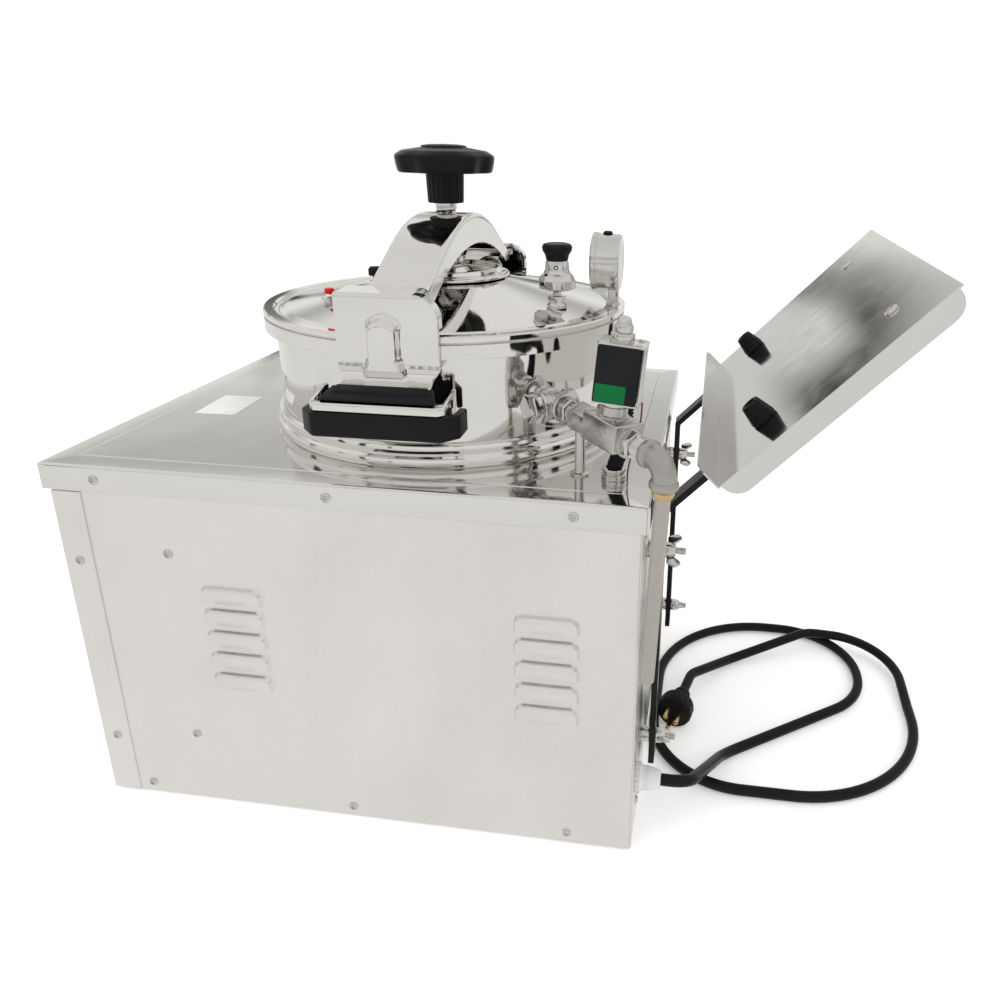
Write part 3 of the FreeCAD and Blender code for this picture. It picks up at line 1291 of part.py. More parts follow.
def plug_body():
    """The moulded round plug, ribbed and tapering back over the lead."""
    face = Part.makeCylinder(17, 16, Vector(0, 0, -16))
    face = face.makeFillet(2, [edge for edge in face.Edges if edge.BoundBox.ZLength < 1e-6])
    cone = Part.makeCone(8, 15, 20, Vector(0, 0, -35))
    plug = face.fuse(cone).cut(Part.makeCylinder(size("cableRadius") + 0.02, 12, Vector(0, 0, -40)))
    for x, y in PIN_PLACES:
        plug = plug.cut(Part.makeCylinder(2.41, 9, Vector(x, y, -8)))
    return feature_of("plug_body", plug, plug_frame())


def plug_pins():
    """The three round pins of the plug."""
    pin = Part.makeCylinder(2.4, 24, Vector(0, 0, -7.9))
    pin = pin.makeFillet(1, [edge for edge in pin.Edges if edge.BoundBox.ZMin > 15])
    pins = spots(pin, [(Vector(x, y, 0), UP) for x, y in PIN_PLACES])
    return feature_of("plug_pins", pins, plug_frame())


def power_cable():
    return feature_of("power_cable", bent_bar(lead_path(), size("cableRadius")))


# ---------------------------------------------------------------- controls and drain

def control_fascia():
    """The control overlay on the front panel, with a raised window frame and four soft keys."""
    body = new_body("control_fascia")
    plate = sketch_on(body, "XZ_Plane", "bodyDepth / 2 + 0.02")
    low = "fasciaZ - fasciaTall / 2"
    high = "fasciaZ + fasciaTall / 2"
    outline(plate, [
        ("-fasciaWidth / 2", f"{low} + 6"), ("-fasciaWidth / 2", high), ("fasciaWidth / 2", high),
        ("fasciaWidth / 2", f"{low} + 6"), ("fasciaWidth / 2 - 6", low), ("-fasciaWidth / 2 + 6", low),
    ])
    pad(body, plate, "2")
    window = sketch_on(body, "XZ_Plane", "bodyDepth / 2 + 2.02")
    rectangle(window, "-34", "fasciaZ - 11", "34", "fasciaZ + 21")
    pocket(body, window, "1.2")
    keys = sketch_on(body, "XZ_Plane", "bodyDepth / 2 + 1")
    for x in (-54, -74, 54, 74):
        disc(keys, str(x), "fasciaZ - 8", "7")
        disc(keys, str(x), "fasciaZ + 14", "2.5")
    pad(body, keys, "1.8")
    return body


def rocker_frame():
    """The frame of the mains switch, snapped into the front panel."""
    x = size("rockerX")
    z = size("rockerZ")
    face = -size("bodyDepth / 2")
    rim = Part.makeBox(32, 2, 26, Vector(x - 16, face - 2.02, z - 13))
    shell = Part.makeBox(27.9, 20, 21.9, Vector(x - 13.95, face - 0.5, z - 10.95))
    cavity = Part.makeBox(23, 16, 18, Vector(x - 11.5, face - 3, z - 9))
    return feature_of("rocker_frame", rim.fuse(shell).cut(cavity))


def rocker_switch():
    """The rocker, at rest in its off position, turned about its own crosswise axle."""
    x = size("rockerX")
    z = size("rockerZ")
    face = -size("bodyDepth / 2")
    half = 11.4
    side_view = [(-5.4, 8), (-2.4, 0), (-5.4, -8), (1, -5.5), (1, 5.5)]
    corners = [Vector(-half, y, z) for y, z in side_view]
    rocker = Part.Face(Part.makePolygon(corners + corners[:1])).extrude(Vector(2 * half, 0, 0))
    axle = Part.makeCylinder(1.6, 2 * half, Vector(-half, 0, 0), RIGHTWARD)
    rocker = rocker.fuse(axle)
    rocker.rotate(Vector(0, 0, 0), RIGHTWARD, -ROCKER_TILT)
    return feature_of("rocker_switch", rocker, Placement(Vector(x, face + 2, z), Rotation()))


def drain_valve():
    """The drain line from the pot floor to the front, with its ball valve and spout."""
    x = size("drainX")
    z = size("drainZ")
    face = -size("bodyDepth / 2")
    front = face - 34
    pot = Vector(0, size("potY"), size("potFloor") - 0.02)
    down = round_bar(8, pot, Vector(0, size("potY"), z))
    across = round_bar(8, Vector(0, size("potY"), z), Vector(x, size("potY"), z))
    forward = round_bar(8, Vector(x, size("potY"), z), Vector(x, face + 3, z))
    through = round_bar(8, Vector(x, face + 3, z), Vector(x, front, z))
    knees = [Part.makeSphere(8, Vector(0, size("potY"), z)), Part.makeSphere(8, Vector(x, size("potY"), z))]
    block = Part.makeBox(26, 22, 26, Vector(x - 13, front + 4, z - 13))
    spout = Part.makeCylinder(10, 34, Vector(x, front - 2, z - 30))
    bonnet = Part.makeCylinder(6.5, 6, Vector(x, front + 15, z + 12.5))
    spindle = Part.makeCylinder(3, 13, Vector(x, front + 15, z + 12.5))
    solid = down.fuse([across, forward, through, block, spout, bonnet, spindle] + knees)
    solid = solid.cut(round_bar(5.5, Vector(x, size("potY") - 10, z), Vector(x, front - 1, z)))
    solid = solid.cut(Part.makeCylinder(7, 31, Vector(x, front - 2, z - 31)))
    return feature_of("drain_valve", solid)


def drain_lever():
    """The lever on the drain valve's spindle, lying across the front while the valve is shut."""
    x = size("drainX")
    z = size("drainZ")
    spot = Vector(x, -size("bodyDepth / 2") - 34 + 15, z)
    hub = Part.makeCylinder(6, 5, Vector(0, 0, 19.2))
    arm = Part.makeBox(46, 9, 2.5, Vector(0, -4.5, 19.2))
    grip = Part.makeBox(34, 12, 7, Vector(40, -6, 18))
    lever = hub.fuse([arm, grip]).cut(Part.makeCylinder(3.05, 20, Vector(0, 0, 12)))
    return feature_of("drain_lever", lever, Placement(spot, Rotation(Vector(0, 0, 1), 180)))


# ---------------------------------------------------------------- the whole machine

SUB_PARTS = (
    top_cover, side_panels, front_panel, rear_panel, base_plate, housing_screws, rubber_feet,
    pot_vessel, pot_base_ring, pot_insulation, heating_element, fry_basket,
    ear_brackets, handle_grips, handle_trims, lid, lid_gasket, lid_boss, clamp_beam, beam_nut,
    thrust_cup, clamp_screw, knob, relief_seat, relief_weight, relief_cap, float_seat, float_pin,
    safety_plug, gauge_case, gauge_dial, gauge_needle, gauge_glass, exhaust_nipples, exhaust_cross,
    valve_body, solenoid_tube, solenoid_plunger, solenoid_coil, solenoid_yoke, coil_nut, exhaust_elbow,
    drop_pipe, valve_post, conduit, shelf_panel, shelf_feet, shelf_arms, shelf_screws, arm_studs, wing_nuts,
    cable_gland, power_cable, plug_body, plug_pins, control_fascia, rocker_frame, rocker_switch,
    drain_valve, drain_lever,
)


def check(thing, name):
    shape = thing.Shape
    if shape.isNull() or not shape.isValid() or not shape.Solids:
        raise ValueError(f"{name}: no valid solid")


def build():
    made = {maker.__name__: maker() for maker in SUB_PARTS}
    doc.recompute()
    for thing in doc.Objects:
        if "Invalid" in thing.State or "Error" in thing.State:
            raise ValueError(f"{thing.Label}: {thing.State}")
    for name, thing in made.items():
        check(thing, name)
        thing.Label = name
    os.makedirs("parts", exist_ok=True)
    for name, thing in made.items():
        thing.Shape.exportStep(f"parts/{name}.step")


build()
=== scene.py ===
import json
from math import acos, cos, hypot, pi, radians, sin, sqrt, tan

import bmesh
import bpy
from mathutils import Matrix, Vector


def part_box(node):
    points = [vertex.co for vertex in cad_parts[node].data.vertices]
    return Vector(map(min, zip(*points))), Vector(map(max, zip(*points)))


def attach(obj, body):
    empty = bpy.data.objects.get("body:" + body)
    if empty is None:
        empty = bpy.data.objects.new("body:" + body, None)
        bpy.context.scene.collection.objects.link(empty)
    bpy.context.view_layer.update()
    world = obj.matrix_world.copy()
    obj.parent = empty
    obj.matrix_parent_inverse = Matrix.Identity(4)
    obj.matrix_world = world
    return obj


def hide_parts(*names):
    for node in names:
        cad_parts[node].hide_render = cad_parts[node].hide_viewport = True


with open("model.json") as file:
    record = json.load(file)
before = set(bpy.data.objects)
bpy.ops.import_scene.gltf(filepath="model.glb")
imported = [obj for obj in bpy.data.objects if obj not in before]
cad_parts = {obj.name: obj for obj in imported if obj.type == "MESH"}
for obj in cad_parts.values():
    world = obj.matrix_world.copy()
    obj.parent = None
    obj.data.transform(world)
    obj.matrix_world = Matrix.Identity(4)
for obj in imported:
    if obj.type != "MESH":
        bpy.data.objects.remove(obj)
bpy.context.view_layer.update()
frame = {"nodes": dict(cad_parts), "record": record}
NODES = frame["nodes"]

MM = 0.001


# ---------------------------------------------------------------- material kit

def feed(tree, node, inputs):
    """Set a node's inputs; a value may be another node's output."""
    for key, value in inputs.items():
        if isinstance(value, bpy.types.NodeSocket):
            tree.links.new(value, node.inputs[key])
        else:
            node.inputs[key].default_value = value


def add(tree, kind, inputs, **settings):
    """A new shader node with its settings and inputs."""
    node = tree.nodes.new("ShaderNode" + kind)
    for key, value in settings.items():
        setattr(node, key, value)
    feed(tree, node, inputs)
    return node


def new_material(name):
    material = bpy.data.materials.new(name)
    material.use_nodes = True
    return material, material.node_tree, material.node_tree.nodes["Principled BSDF"]


def coordinates(tree, scale=(1, 1, 1)):
    """Object coordinates, stretched."""
    place = add(tree, "TexCoord", {}).outputs["Object"]
    return add(tree, "Mapping", {"Scale": scale, "Vector": place}).outputs["Vector"]


def noise(tree, vector, scale, detail=3, roughness=0.5):
    """A cloudy pattern between 0 and 1."""
    return add(tree, "TexNoise", {"Scale": scale, "Detail": detail, "Roughness": roughness,
                                  "Vector": vector}).outputs["Fac"]


def spread(tree, value, low, high, start=0.3, finish=0.7):
    """Map a pattern's part from start to finish onto low to high."""
    return add(tree, "MapRange", {"From Min": start, "From Max": finish, "To Min": low,
                                  "To Max": high, "Value": value}).outputs["Result"]


def colour_mix(tree, value, first, second):
    """A colour between two by a pattern; either may be another node's output."""
    ends = [end if isinstance(end, bpy.types.NodeSocket) else (*end, 1) for end in (first, second)]
    return add(tree, "Mix", {"Factor": value, 6: ends[0], 7: ends[1]}, data_type="RGBA").outputs[2]


def sum_up(tree, operation, *inputs):
    """One number out of two or three."""
    return add(tree, "Math", dict(enumerate(inputs)), operation=operation).outputs[0]


def bump(tree, shader, height, distance, bevel, strength=1.0):
    """Relief from a height pattern, with edges that shade as if rounded."""
    rounded = add(tree, "Bevel", {"Radius": bevel}, samples=4).outputs["Normal"]
    relief = add(tree, "Bump", {"Strength": strength, "Distance": distance, "Height": height,
                                "Normal": rounded})
    feed(tree, shader, {"Normal": relief.outputs["Normal"]})


def polished_steel(name, tint=(0.80, 0.79, 0.77), waviness=0.0004, rough=(0.03, 0.09)):
    """Mirror-polished sheet: slightly wavy, with faint wipe marks."""
    material, tree, shader = new_material(name)
    vector = coordinates(tree)
    smear = noise(tree, vector, 30, 4)
    feed(tree, shader, {"Metallic": 1,
                        "Base Color": colour_mix(tree, smear, [c * 0.95 for c in tint], tint),
                        "Roughness": spread(tree, noise(tree, vector, 55, 5), *rough)})
    bump(tree, shader, noise(tree, vector, 7, 1), waviness, 0.0006)
    return material


def satin_steel(name, tint=(0.90, 0.885, 0.86), rough=(0.22, 0.36)):
    """Rolled sheet with a soft mottled sheen and short grain."""
    material, tree, shader = new_material(name)
    grain = noise(tree, coordinates(tree, (60, 6, 220)), 6, 4)
    mottle = noise(tree, coordinates(tree), 240, 5, 0.65)
    patch = noise(tree, coordinates(tree, (1, 1, 0.55)), 11, 4)
    cloud = sum_up(tree, "MULTIPLY_ADD", mottle, 0.35, spread(tree, patch, 0.0, 0.65))
    feed(tree, shader, {"Metallic": 1,
                        "Base Color": colour_mix(tree, cloud, [c * 0.84 for c in tint], tint),
                        "Roughness": spread(tree, patch, *rough)})
    bump(tree, shader, grain, 0.00004, 0.0005, 0.6)
    return material


def fitting_steel(name, tint=(0.66, 0.65, 0.62), rough=(0.16, 0.34), grain_depth=0.00006):
    """Turned or cast fittings: patches of lighter and darker metal over fine pores."""
    material, tree, shader = new_material(name)
    vector = coordinates(tree)
    pores = noise(tree, vector, 420, 4, 0.6)
    shade = noise(tree, vector, 60, 3)
    feed(tree, shader, {"Metallic": 1,
                        "Base Color": colour_mix(tree, shade, [c * 0.8 for c in tint], tint),
                        "Roughness": spread(tree, shade, *rough)})
    bump(tree, shader, pores, grain_depth, 0.0004)
    return material


def plastic(name, tint, rough=(0.3, 0.45), grain=0.00005, scale=900, coat=0.0):
    """Moulded plastic, rubber or paint with a fine texture."""
    material, tree, shader = new_material(name)
    vector = coordinates(tree)
    patch = noise(tree, vector, 35, 3)
    lighter = [min(1, c * 1.35 + 0.004) for c in tint]
    feed(tree, shader, {"Base Color": colour_mix(tree, patch, tint, lighter), "Coat Weight": coat,
                        "Roughness": spread(tree, patch, *rough), "Specular IOR Level": 0.13})
    bump(tree, shader, noise(tree, vector, scale, 2), grain, 0.0006)
    return material


def glass_material():
    """Clear glass with faint smears."""
    material, tree, shader = new_material("gauge_glass_clear")
    smear = noise(tree, coordinates(tree), 200, 3)
    feed(tree, shader, {"Transmission Weight": 1, "IOR": 1.45,
                        "Roughness": spread(tree, smear, 0.0, 0.06)})
    return material


MIRROR = polished_steel("mirror_steel")
COVER = polished_steel("cover_steel", waviness=0.0007, rough=(0.05, 0.13))
SATIN = satin_steel("satin_sheet")
SHELF = polished_steel("shelf_sheet", (0.74, 0.73, 0.71), 0.0003, (0.07, 0.13))
FITTING = fitting_steel("cast_fitting")
TURNED = fitting_steel("turned_steel", (0.72, 0.71, 0.69), (0.08, 0.2), 0.00002)
BAKELITE = plastic("black_bakelite", (0.004, 0.004, 0.005), (0.24, 0.36), 0.00003)
RUBBER = plastic("black_rubber", (0.005, 0.005, 0.006), (0.4, 0.55), 0.00008, 600)
LEAD = plastic("lead_sheath", (0.005, 0.005, 0.006), (0.3, 0.42), 0.00004, 700)
PAINT = plastic("black_paint", (0.005, 0.005, 0.005), (0.28, 0.4), 0.00006, 300, 0.1)
COIL = plastic("coil_moulding", (0.006, 0.007, 0.008), (0.3, 0.42), 0.00008, 500)
RED = plastic("red_pin", (0.5, 0.01, 0.02), (0.2, 0.3), 0.00002)
GREY = plastic("grey_nylon", (0.55, 0.56, 0.57), (0.35, 0.5), 0.00003)
FASCIA = plastic("fascia_film", (0.03, 0.035, 0.045), (0.12, 0.22), 0.00002, 800, 0.5)
SILICONE = plastic("silicone_seal", (0.62, 0.6, 0.54), (0.4, 0.55), 0.00003)
BLANKET = plastic("fibre_blanket", (0.75, 0.73, 0.68), (0.8, 0.95), 0.0006, 120)
DIAL = plastic("dial_face", (0.85, 0.85, 0.83), (0.4, 0.5), 0.00001)
BRASS = fitting_steel("brass", (0.72, 0.52, 0.24), (0.15, 0.3))
NICKEL = fitting_steel("nickel_plate", (0.70, 0.68, 0.63), (0.1, 0.25))
HEATER = fitting_steel("heater_sheath", (0.25, 0.24, 0.24), (0.3, 0.5))
GLASS = glass_material()
# Near black: the display window's own dark glass, and painted shade inside the relief weight's vent and
# the tray slots.
HOLE_SHADE_AND_DARK_GLASS = plastic("hole_shade_and_dark_glass", (0.01, 0.01, 0.01), (0.7, 0.9), 0.00001)
GREEN = plastic("green_label", (0.0, 0.10, 0.027), (0.25, 0.35), 0.00001)
LABEL = plastic("white_label", (0.72, 0.71, 0.68), (0.4, 0.5), 0.00001)
LABEL_GLUE = plastic("old_glue", (0.16, 0.15, 0.14), (0.5, 0.7), 0.0001, 300)
WIRE = plastic("brown_wire", (0.10, 0.04, 0.015), (0.35, 0.5), 0.00001)
SHADE = plastic("louvre_shade", (0.42, 0.41, 0.40), (0.6, 0.8), 0.00001)
CAST = fitting_steel("blasted_casting", (0.52, 0.50, 0.475), (0.36, 0.5))
DRAWN = fitting_steel("drawn_tube", (0.56, 0.53, 0.49), (0.24, 0.4))
MACHINED = fitting_steel("machined_bar", (0.62, 0.60, 0.575), (0.2, 0.32), 0.00002)

CAD_LOOKS = (
    (COVER, "top_cover"),
    (SATIN, "side_panels front_panel rear_panel base_plate"),
    (TURNED, "housing_screws fry_basket thrust_cup clamp_screw relief_seat relief_weight "
             "float_seat gauge_case exhaust_nipples valve_body solenoid_tube solenoid_plunger "
             "solenoid_yoke coil_nut shelf_screws arm_studs wing_nuts drain_lever"),
    (RUBBER, "rubber_feet safety_plug conduit shelf_feet plug_body"),
    (MIRROR, "pot_vessel pot_base_ring ear_brackets handle_trims lid lid_boss clamp_beam"),
    (BLANKET, "pot_insulation"),
    (HEATER, "heating_element"),
    (BAKELITE, "handle_grips knob relief_cap rocker_frame rocker_switch"),
    (SILICONE, "lid_gasket"),
    (BRASS, "beam_nut plug_pins"),
    (RED, "float_pin"),
    (DIAL, "gauge_dial"),
    (PAINT, "gauge_needle shelf_arms"),
    (GLASS, "gauge_glass"),
    (FITTING, "exhaust_cross exhaust_elbow drop_pipe valve_post"),
    (COIL, "solenoid_coil"),
    (SHELF, "shelf_panel"),
    (GREY, "cable_gland"),
    (LEAD, "power_cable"),
    (FASCIA, "control_fascia"),
    (NICKEL, "drain_valve"),
)
for look, node_names in CAD_LOOKS:
    for node_name in node_names.split():
        slots = NODES[node_name].data.materials
        slots.clear()
        slots.append(look)


# ---------------------------------------------------------------- mesh kit, in millimetres

BODIES = frame["record"]["behaviour"]["bodies"]
BODY_OF = {node: body for body, nodes in BODIES.items() for node in nodes}
WORLD = Matrix.Identity(4)
SIDES = 128
SHARP = radians(38)


def shift(x=0, y=0, z=0):
    """A translation in millimetres."""
    return Matrix.Translation((x, y, z))


def spin(degrees, axis="Z"):
    """A rotation in degrees."""
    return Matrix.Rotation(radians(degrees), 4, axis)


def fillet(points, steps=4):
    """A closed outline of (x, y) or (x, y, radius) corners, with the given corners rounded."""
    result = []
    count = len(points)
    for index, point in enumerate(points):
        corner = Vector(point[:2])
        radius = point[2] if len(point) > 2 else 0
        before = Vector(points[index - 1][:2]) - corner
        after = Vector(points[(index + 1) % count][:2]) - corner
        if radius <= 0 or before.length < 1e-6 or after.length < 1e-6:
            result.append(corner)
            continue
        first, second = before.normalized(), after.normalized()
        half = acos(max(-1, min(1, first.dot(second)))) / 2
        if half > pi / 2 - 0.02:
            result += [corner] * (steps + 1)
            continue
        reach = min(radius / tan(half), 0.49 * before.length, 0.49 * after.length)
        round_by = reach * tan(half)
        centre = corner + (first + second).normalized() * (round_by / sin(half))
        start = corner + first * reach - centre
        finish = corner + second * reach - centre
        turn = start.angle_signed(finish)
        for step in range(steps + 1):
            angle = -turn * step / steps
            arm = Vector((start.x * cos(angle) - start.y * sin(angle),
                          start.x * sin(angle) + start.y * cos(angle)))
            result.append(centre + arm)
    return result


def hexagon(across, corner=0.6, steps=2):
    """The outline of a nut by its width across flats."""
    reach = across / sqrt(3)
    return fillet([(reach * cos(pi * k / 3), reach * sin(pi * k / 3), corner)
                   for k in range(6)], steps)


def loft(rings, caps=True, round_trip=False):
    """Faces between rings of equal counts; a mesh in millimetres."""
    shape = bmesh.new()
    rows = [[shape.verts.new(point) for point in ring] for ring in rings]
    count = len(rows[0])
    pairs = list(zip(rows, rows[1:]))
    if round_trip:
        pairs.append((rows[-1], rows[0]))
    for lower, upper in pairs:
        for k in range(count):
            after = (k + 1) % count
            shape.faces.new((lower[k], lower[after], upper[after], upper[k]))
    if caps and not round_trip:
        shape.faces.new(list(reversed(rows[0])))
        shape.faces.new(rows[-1])
    return shape


def tidy_mesh(shape):
    """Merge doubled points and turn all faces outwards."""
    bmesh.ops.remove_doubles(shape, verts=shape.verts, dist=1e-4)
    bmesh.ops.dissolve_degenerate(shape, edges=shape.edges, dist=1e-5)
    bmesh.ops.recalc_face_normals(shape, faces=shape.faces)
    return shape


def lathe(profile, sides=SIDES, steps=4, change=None):
    """A closed outline of (radius, height, corner radius), turned about local Z.

    change(radius, height, angle) gives the radius to use instead.
    """
    outline = fillet(profile, steps)
    rings = []
    for k in range(sides):
        angle = 2 * pi * k / sides
        reaches = [change(p.x, p.y, angle) if change else p.x for p in outline]
        rings.append([Vector((reach * cos(angle), reach * sin(angle), p.y))
                      for reach, p in zip(reaches, outline)])
    return tidy_mesh(loft(rings, round_trip=True))


def sheet_between(front, rear):
    """A thin sheet between two grids of points, closed round its edge."""
    shape = bmesh.new()
    outer, inner = [[[shape.verts.new(point) for point in row] for row in grid]
                    for grid in (front, rear)]
    for k in range(len(outer) - 1):
        for j in range(len(outer[0]) - 1):
            shape.faces.new((outer[k][j], outer[k][j + 1], outer[k + 1][j + 1], outer[k + 1][j]))
            shape.faces.new((inner[k][j], inner[k + 1][j], inner[k + 1][j + 1], inner[k][j + 1]))
    rims = [(outer[0], inner[0]), (outer[-1], inner[-1])]
    rims += [([row[end] for row in outer], [row[end] for row in inner]) for end in (0, -1)]
    for near, far in rims:
        for a, b, c, d in zip(near, near[1:], far[1:], far):
            shape.faces.new((a, b, c, d))
    return tidy_mesh(shape)


def inset(outline, distance):
    """The outline moved inwards along its corner bisectors; it runs anticlockwise."""
    count = len(outline)
    moved = []
    for index, point in enumerate(outline):
        before = point - outline[index - 1]
        after = outline[(index + 1) % count] - point
        edges = [edge for edge in (before, after) if edge.length > 1e-6]
        normals = [Vector((-edge.y, edge.x)).normalized() for edge in edges]
        if not normals:
            moved.append(point.copy())
            continue
        side = sum(normals, Vector((0, 0)))
        side = side.normalized() if side.length > 1e-6 else normals[0]
        lean = max(0.35, side.dot(normals[0]))
        moved.append(point + side * (distance / lean))
    return moved


def slab(outline, low, high, bevel=0.6, steps=3, drop=None):
    """An upright slab over an anticlockwise outline, its rims rounded. drop(x, y) lowers the top."""
    rings = []
    for step in range(steps + 1):
        angle = pi / 2 * step / steps
        ring = inset(outline, bevel * (1 - sin(angle)))
        rings.append([Vector((p.x, p.y, low + bevel * (1 - cos(angle)))) for p in ring])
    for step in range(steps + 1):
        angle = pi / 2 * step / steps
        ring = inset(outline, bevel * (1 - cos(angle)))
        rings.append([Vector((p.x, p.y,
                              high - bevel * (1 - sin(angle)) - (drop(p.x, p.y) if drop else 0)))
                      for p in ring])
    return tidy_mesh(loft(rings))


def box(low, high, bevel=0.6, corner=None):
    """A block with rounded uprights and rims."""
    (x0, y0, z0), (x1, y1, z1) = low, high
    corner = bevel if corner is None else corner
    outline = fillet([(x0, y0, corner), (x1, y0, corner), (x1, y1, corner), (x0, y1, corner)], 3)
    return slab(outline, z0, z1, bevel)


def smooth_path(points, spacing=3.0):
    """Evenly spaced points on a centripetal curve through the given ones."""
    points = [Vector(p) for p in points]
    ends = [points[0] * 2 - points[1]] + points + [points[-1] * 2 - points[-2]]
    result = []
    for p0, p1, p2, p3 in zip(ends, ends[1:], ends[2:], ends[3:]):
        steps = max(2, int((p2 - p1).length / spacing))
        for step in range(steps):
            t = step / steps
            result.append(0.5 * ((2 * p1) + (p2 - p0) * t + (2 * p0 - 5 * p1 + 4 * p2 - p3) * t * t
                                 + (3 * p1 - p0 - 3 * p2 + p3) * t ** 3))
    result.append(points[-1])
    return result


def bent_path(corners, step_length=2.5):
    """Points along straight runs joined by arcs, from (point, bend radius) pairs."""
    result = [Vector(corners[0][0])]
    for (before, _), (corner, bend), (after, _) in zip(corners, corners[1:], corners[2:]):
        corner = Vector(corner)
        back = (Vector(before) - corner).normalized()
        ahead = (Vector(after) - corner).normalized()
        half = back.angle(ahead) / 2
        entry = corner + back * (bend / tan(half))
        leave = corner + ahead * (bend / tan(half))
        centre = corner + (back + ahead).normalized() * (bend / sin(half))
        arm = entry - centre
        axis = arm.cross(leave - centre).normalized()
        turn = pi - 2 * half
        steps = max(3, int(turn * bend / step_length))
        run = entry - result[-1]
        for k in range(1, max(2, int(run.length / (4 * step_length)))):
            result.append(result[-1] + run / max(2, int(run.length / (4 * step_length))))
        for k in range(steps + 1):
            result.append(centre + Matrix.Rotation(turn * k / steps, 3, axis) @ arm)
    result.append(Vector(corners[-1][0]))
    return result


def tube(path, radius, sides=24, caps=True):
    """A round bar along a path; radius may be a function of the distance run."""
    rings = []
    tangent = (path[1] - path[0]).normalized()
    side = tangent.orthogonal().normalized()
    travelled = 0.0
    for index, point in enumerate(path):
        ahead = path[min(index + 1, len(path) - 1)] - path[max(index - 1, 0)]
        fresh = ahead.normalized()
        side = (side - fresh * side.dot(fresh)).normalized()
        other = fresh.cross(side)
        if index:
            travelled += (point - path[index - 1]).length
        reach = radius(travelled) if callable(radius) else radius
        rings.append([point + side * (reach * cos(2 * pi * k / sides))
                      + other * (reach * sin(2 * pi * k / sides)) for k in range(sides)])
    return tidy_mesh(loft(rings, caps))


def screw_thread(radius, low, high, pitch=1.25, depth=0.55, sides=48):
    """A shaft with a helical thread between two heights."""
    levels = int((high - low) / pitch * 8)
    rings = []
    for level in range(levels + 1):
        z = low + (high - low) * level / levels
        fade = min(1, (z - low) / pitch, (high - z) / pitch)
        ring = []
        for k in range(sides):
            phase = (z / pitch - k / sides) % 1
            reach = radius - depth * fade * abs(phase - 0.5) * 2
            angle = 2 * pi * k / sides
            ring.append(Vector((reach * cos(angle), reach * sin(angle), z)))
        rings.append(ring)
    return tidy_mesh(loft(rings))


def moved(shape, matrix):
    """The shape itself, moved by a matrix."""
    bmesh.ops.transform(shape, matrix=matrix, verts=shape.verts)
    return shape


def mirrored(shape):
    """The shape and its mirror image on the other side of the YZ plane, as a list of two."""
    copy = shape.copy()
    bmesh.ops.transform(copy, matrix=Matrix.Scale(-1, 4, (1, 0, 0)), verts=copy.verts)
    bmesh.ops.reverse_faces(copy, faces=copy.faces)
    return [shape, copy]


def piece(name, shapes, material, node, matrix=WORLD, replace=True, sharp=SHARP):
    """Join shapes into one object in metres, smooth it by angle and let it ride where its node does."""
    shapes = shapes if isinstance(shapes, list) else [shapes]
    materials = material if isinstance(material, list) else [material]
    mesh = bpy.data.meshes.new(name)
    whole = bmesh.new()
    for index, shape in enumerate(shapes):
        for face in shape.faces:
            face.material_index = min(index, len(materials) - 1)
        part = bpy.data.meshes.new("part")
        shape.to_mesh(part)
        whole.from_mesh(part)
        bpy.data.meshes.remove(part)
        shape.free()
    bmesh.ops.transform(whole, matrix=Matrix.Scale(MM, 4) @ matrix, verts=whole.verts)
    whole.to_mesh(mesh)
    whole.free()
    for face in mesh.polygons:
        face.use_smooth = True
    mesh.set_sharp_from_angle(angle=sharp)
    for item in materials:
        mesh.materials.append(item)
    thing = bpy.data.objects.new(name, mesh)
    bpy.context.scene.collection.objects.link(thing)
    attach(thing, BODY_OF[node])
    if replace:
        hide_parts(node)


def span(node):
    """A node's box in millimetres."""
    low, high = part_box(node)
    return Vector(low) / MM, Vector(high) / MM


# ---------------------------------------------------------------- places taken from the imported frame

POT_LOW, POT_HIGH = span("pot_vessel")
POT = shift((POT_LOW.x + POT_HIGH.x) / 2, (POT_LOW.y + POT_HIGH.y) / 2)
RIM_RADIUS = (POT_HIGH.x - POT_LOW.x) / 2
COVER_TOP = span("top_cover")[1].z
LINE_TURN = 45  # degrees from +X to the exhaust line, seen from above
LINE_DROOP, VALVE_LEAN, EAR_TURN = 3.1, -4.5, 1.5  # degrees
PORT = POT @ spin(LINE_TURN) @ shift(147, 0, 363.3) @ spin(LINE_DROOP, "Y")
CROSS = shift(22)  # the four-way fitting's middle, along the line from PORT
VALVE = PORT @ shift(90) @ spin(VALVE_LEAN, "X")
COIL_BLOCK = VALVE @ spin(-LINE_TURN)
EARS = POT @ spin(EAR_TURN)
CONDUIT_HOLE = Vector((138, 203, COVER_TOP))
ALONG = spin(90, "Y")
ACROSS = spin(90, "X")


# ---------------------------------------------------------------- cabinet

def sheet_edge(low, high, inward, corner=2.5, splits=56):
    """A closed rectangle drawn in by some distance, with round corners and evenly split sides."""
    radius = max(0.3, corner - inward)
    x0, y0, x1, y1 = low.x + inward, low.y + inward, high.x - inward, high.y - inward
    outline = fillet([(x0, y0, radius), (x1, y0, radius), (x1, y1, radius), (x0, y1, radius)], 4)
    dense = []
    for here, ahead in zip(outline, outline[1:] + outline[:1]):
        steps = splits if (ahead - here).length > 20 else 1
        dense += [here.lerp(ahead, step / steps) for step in range(steps)]
    return dense


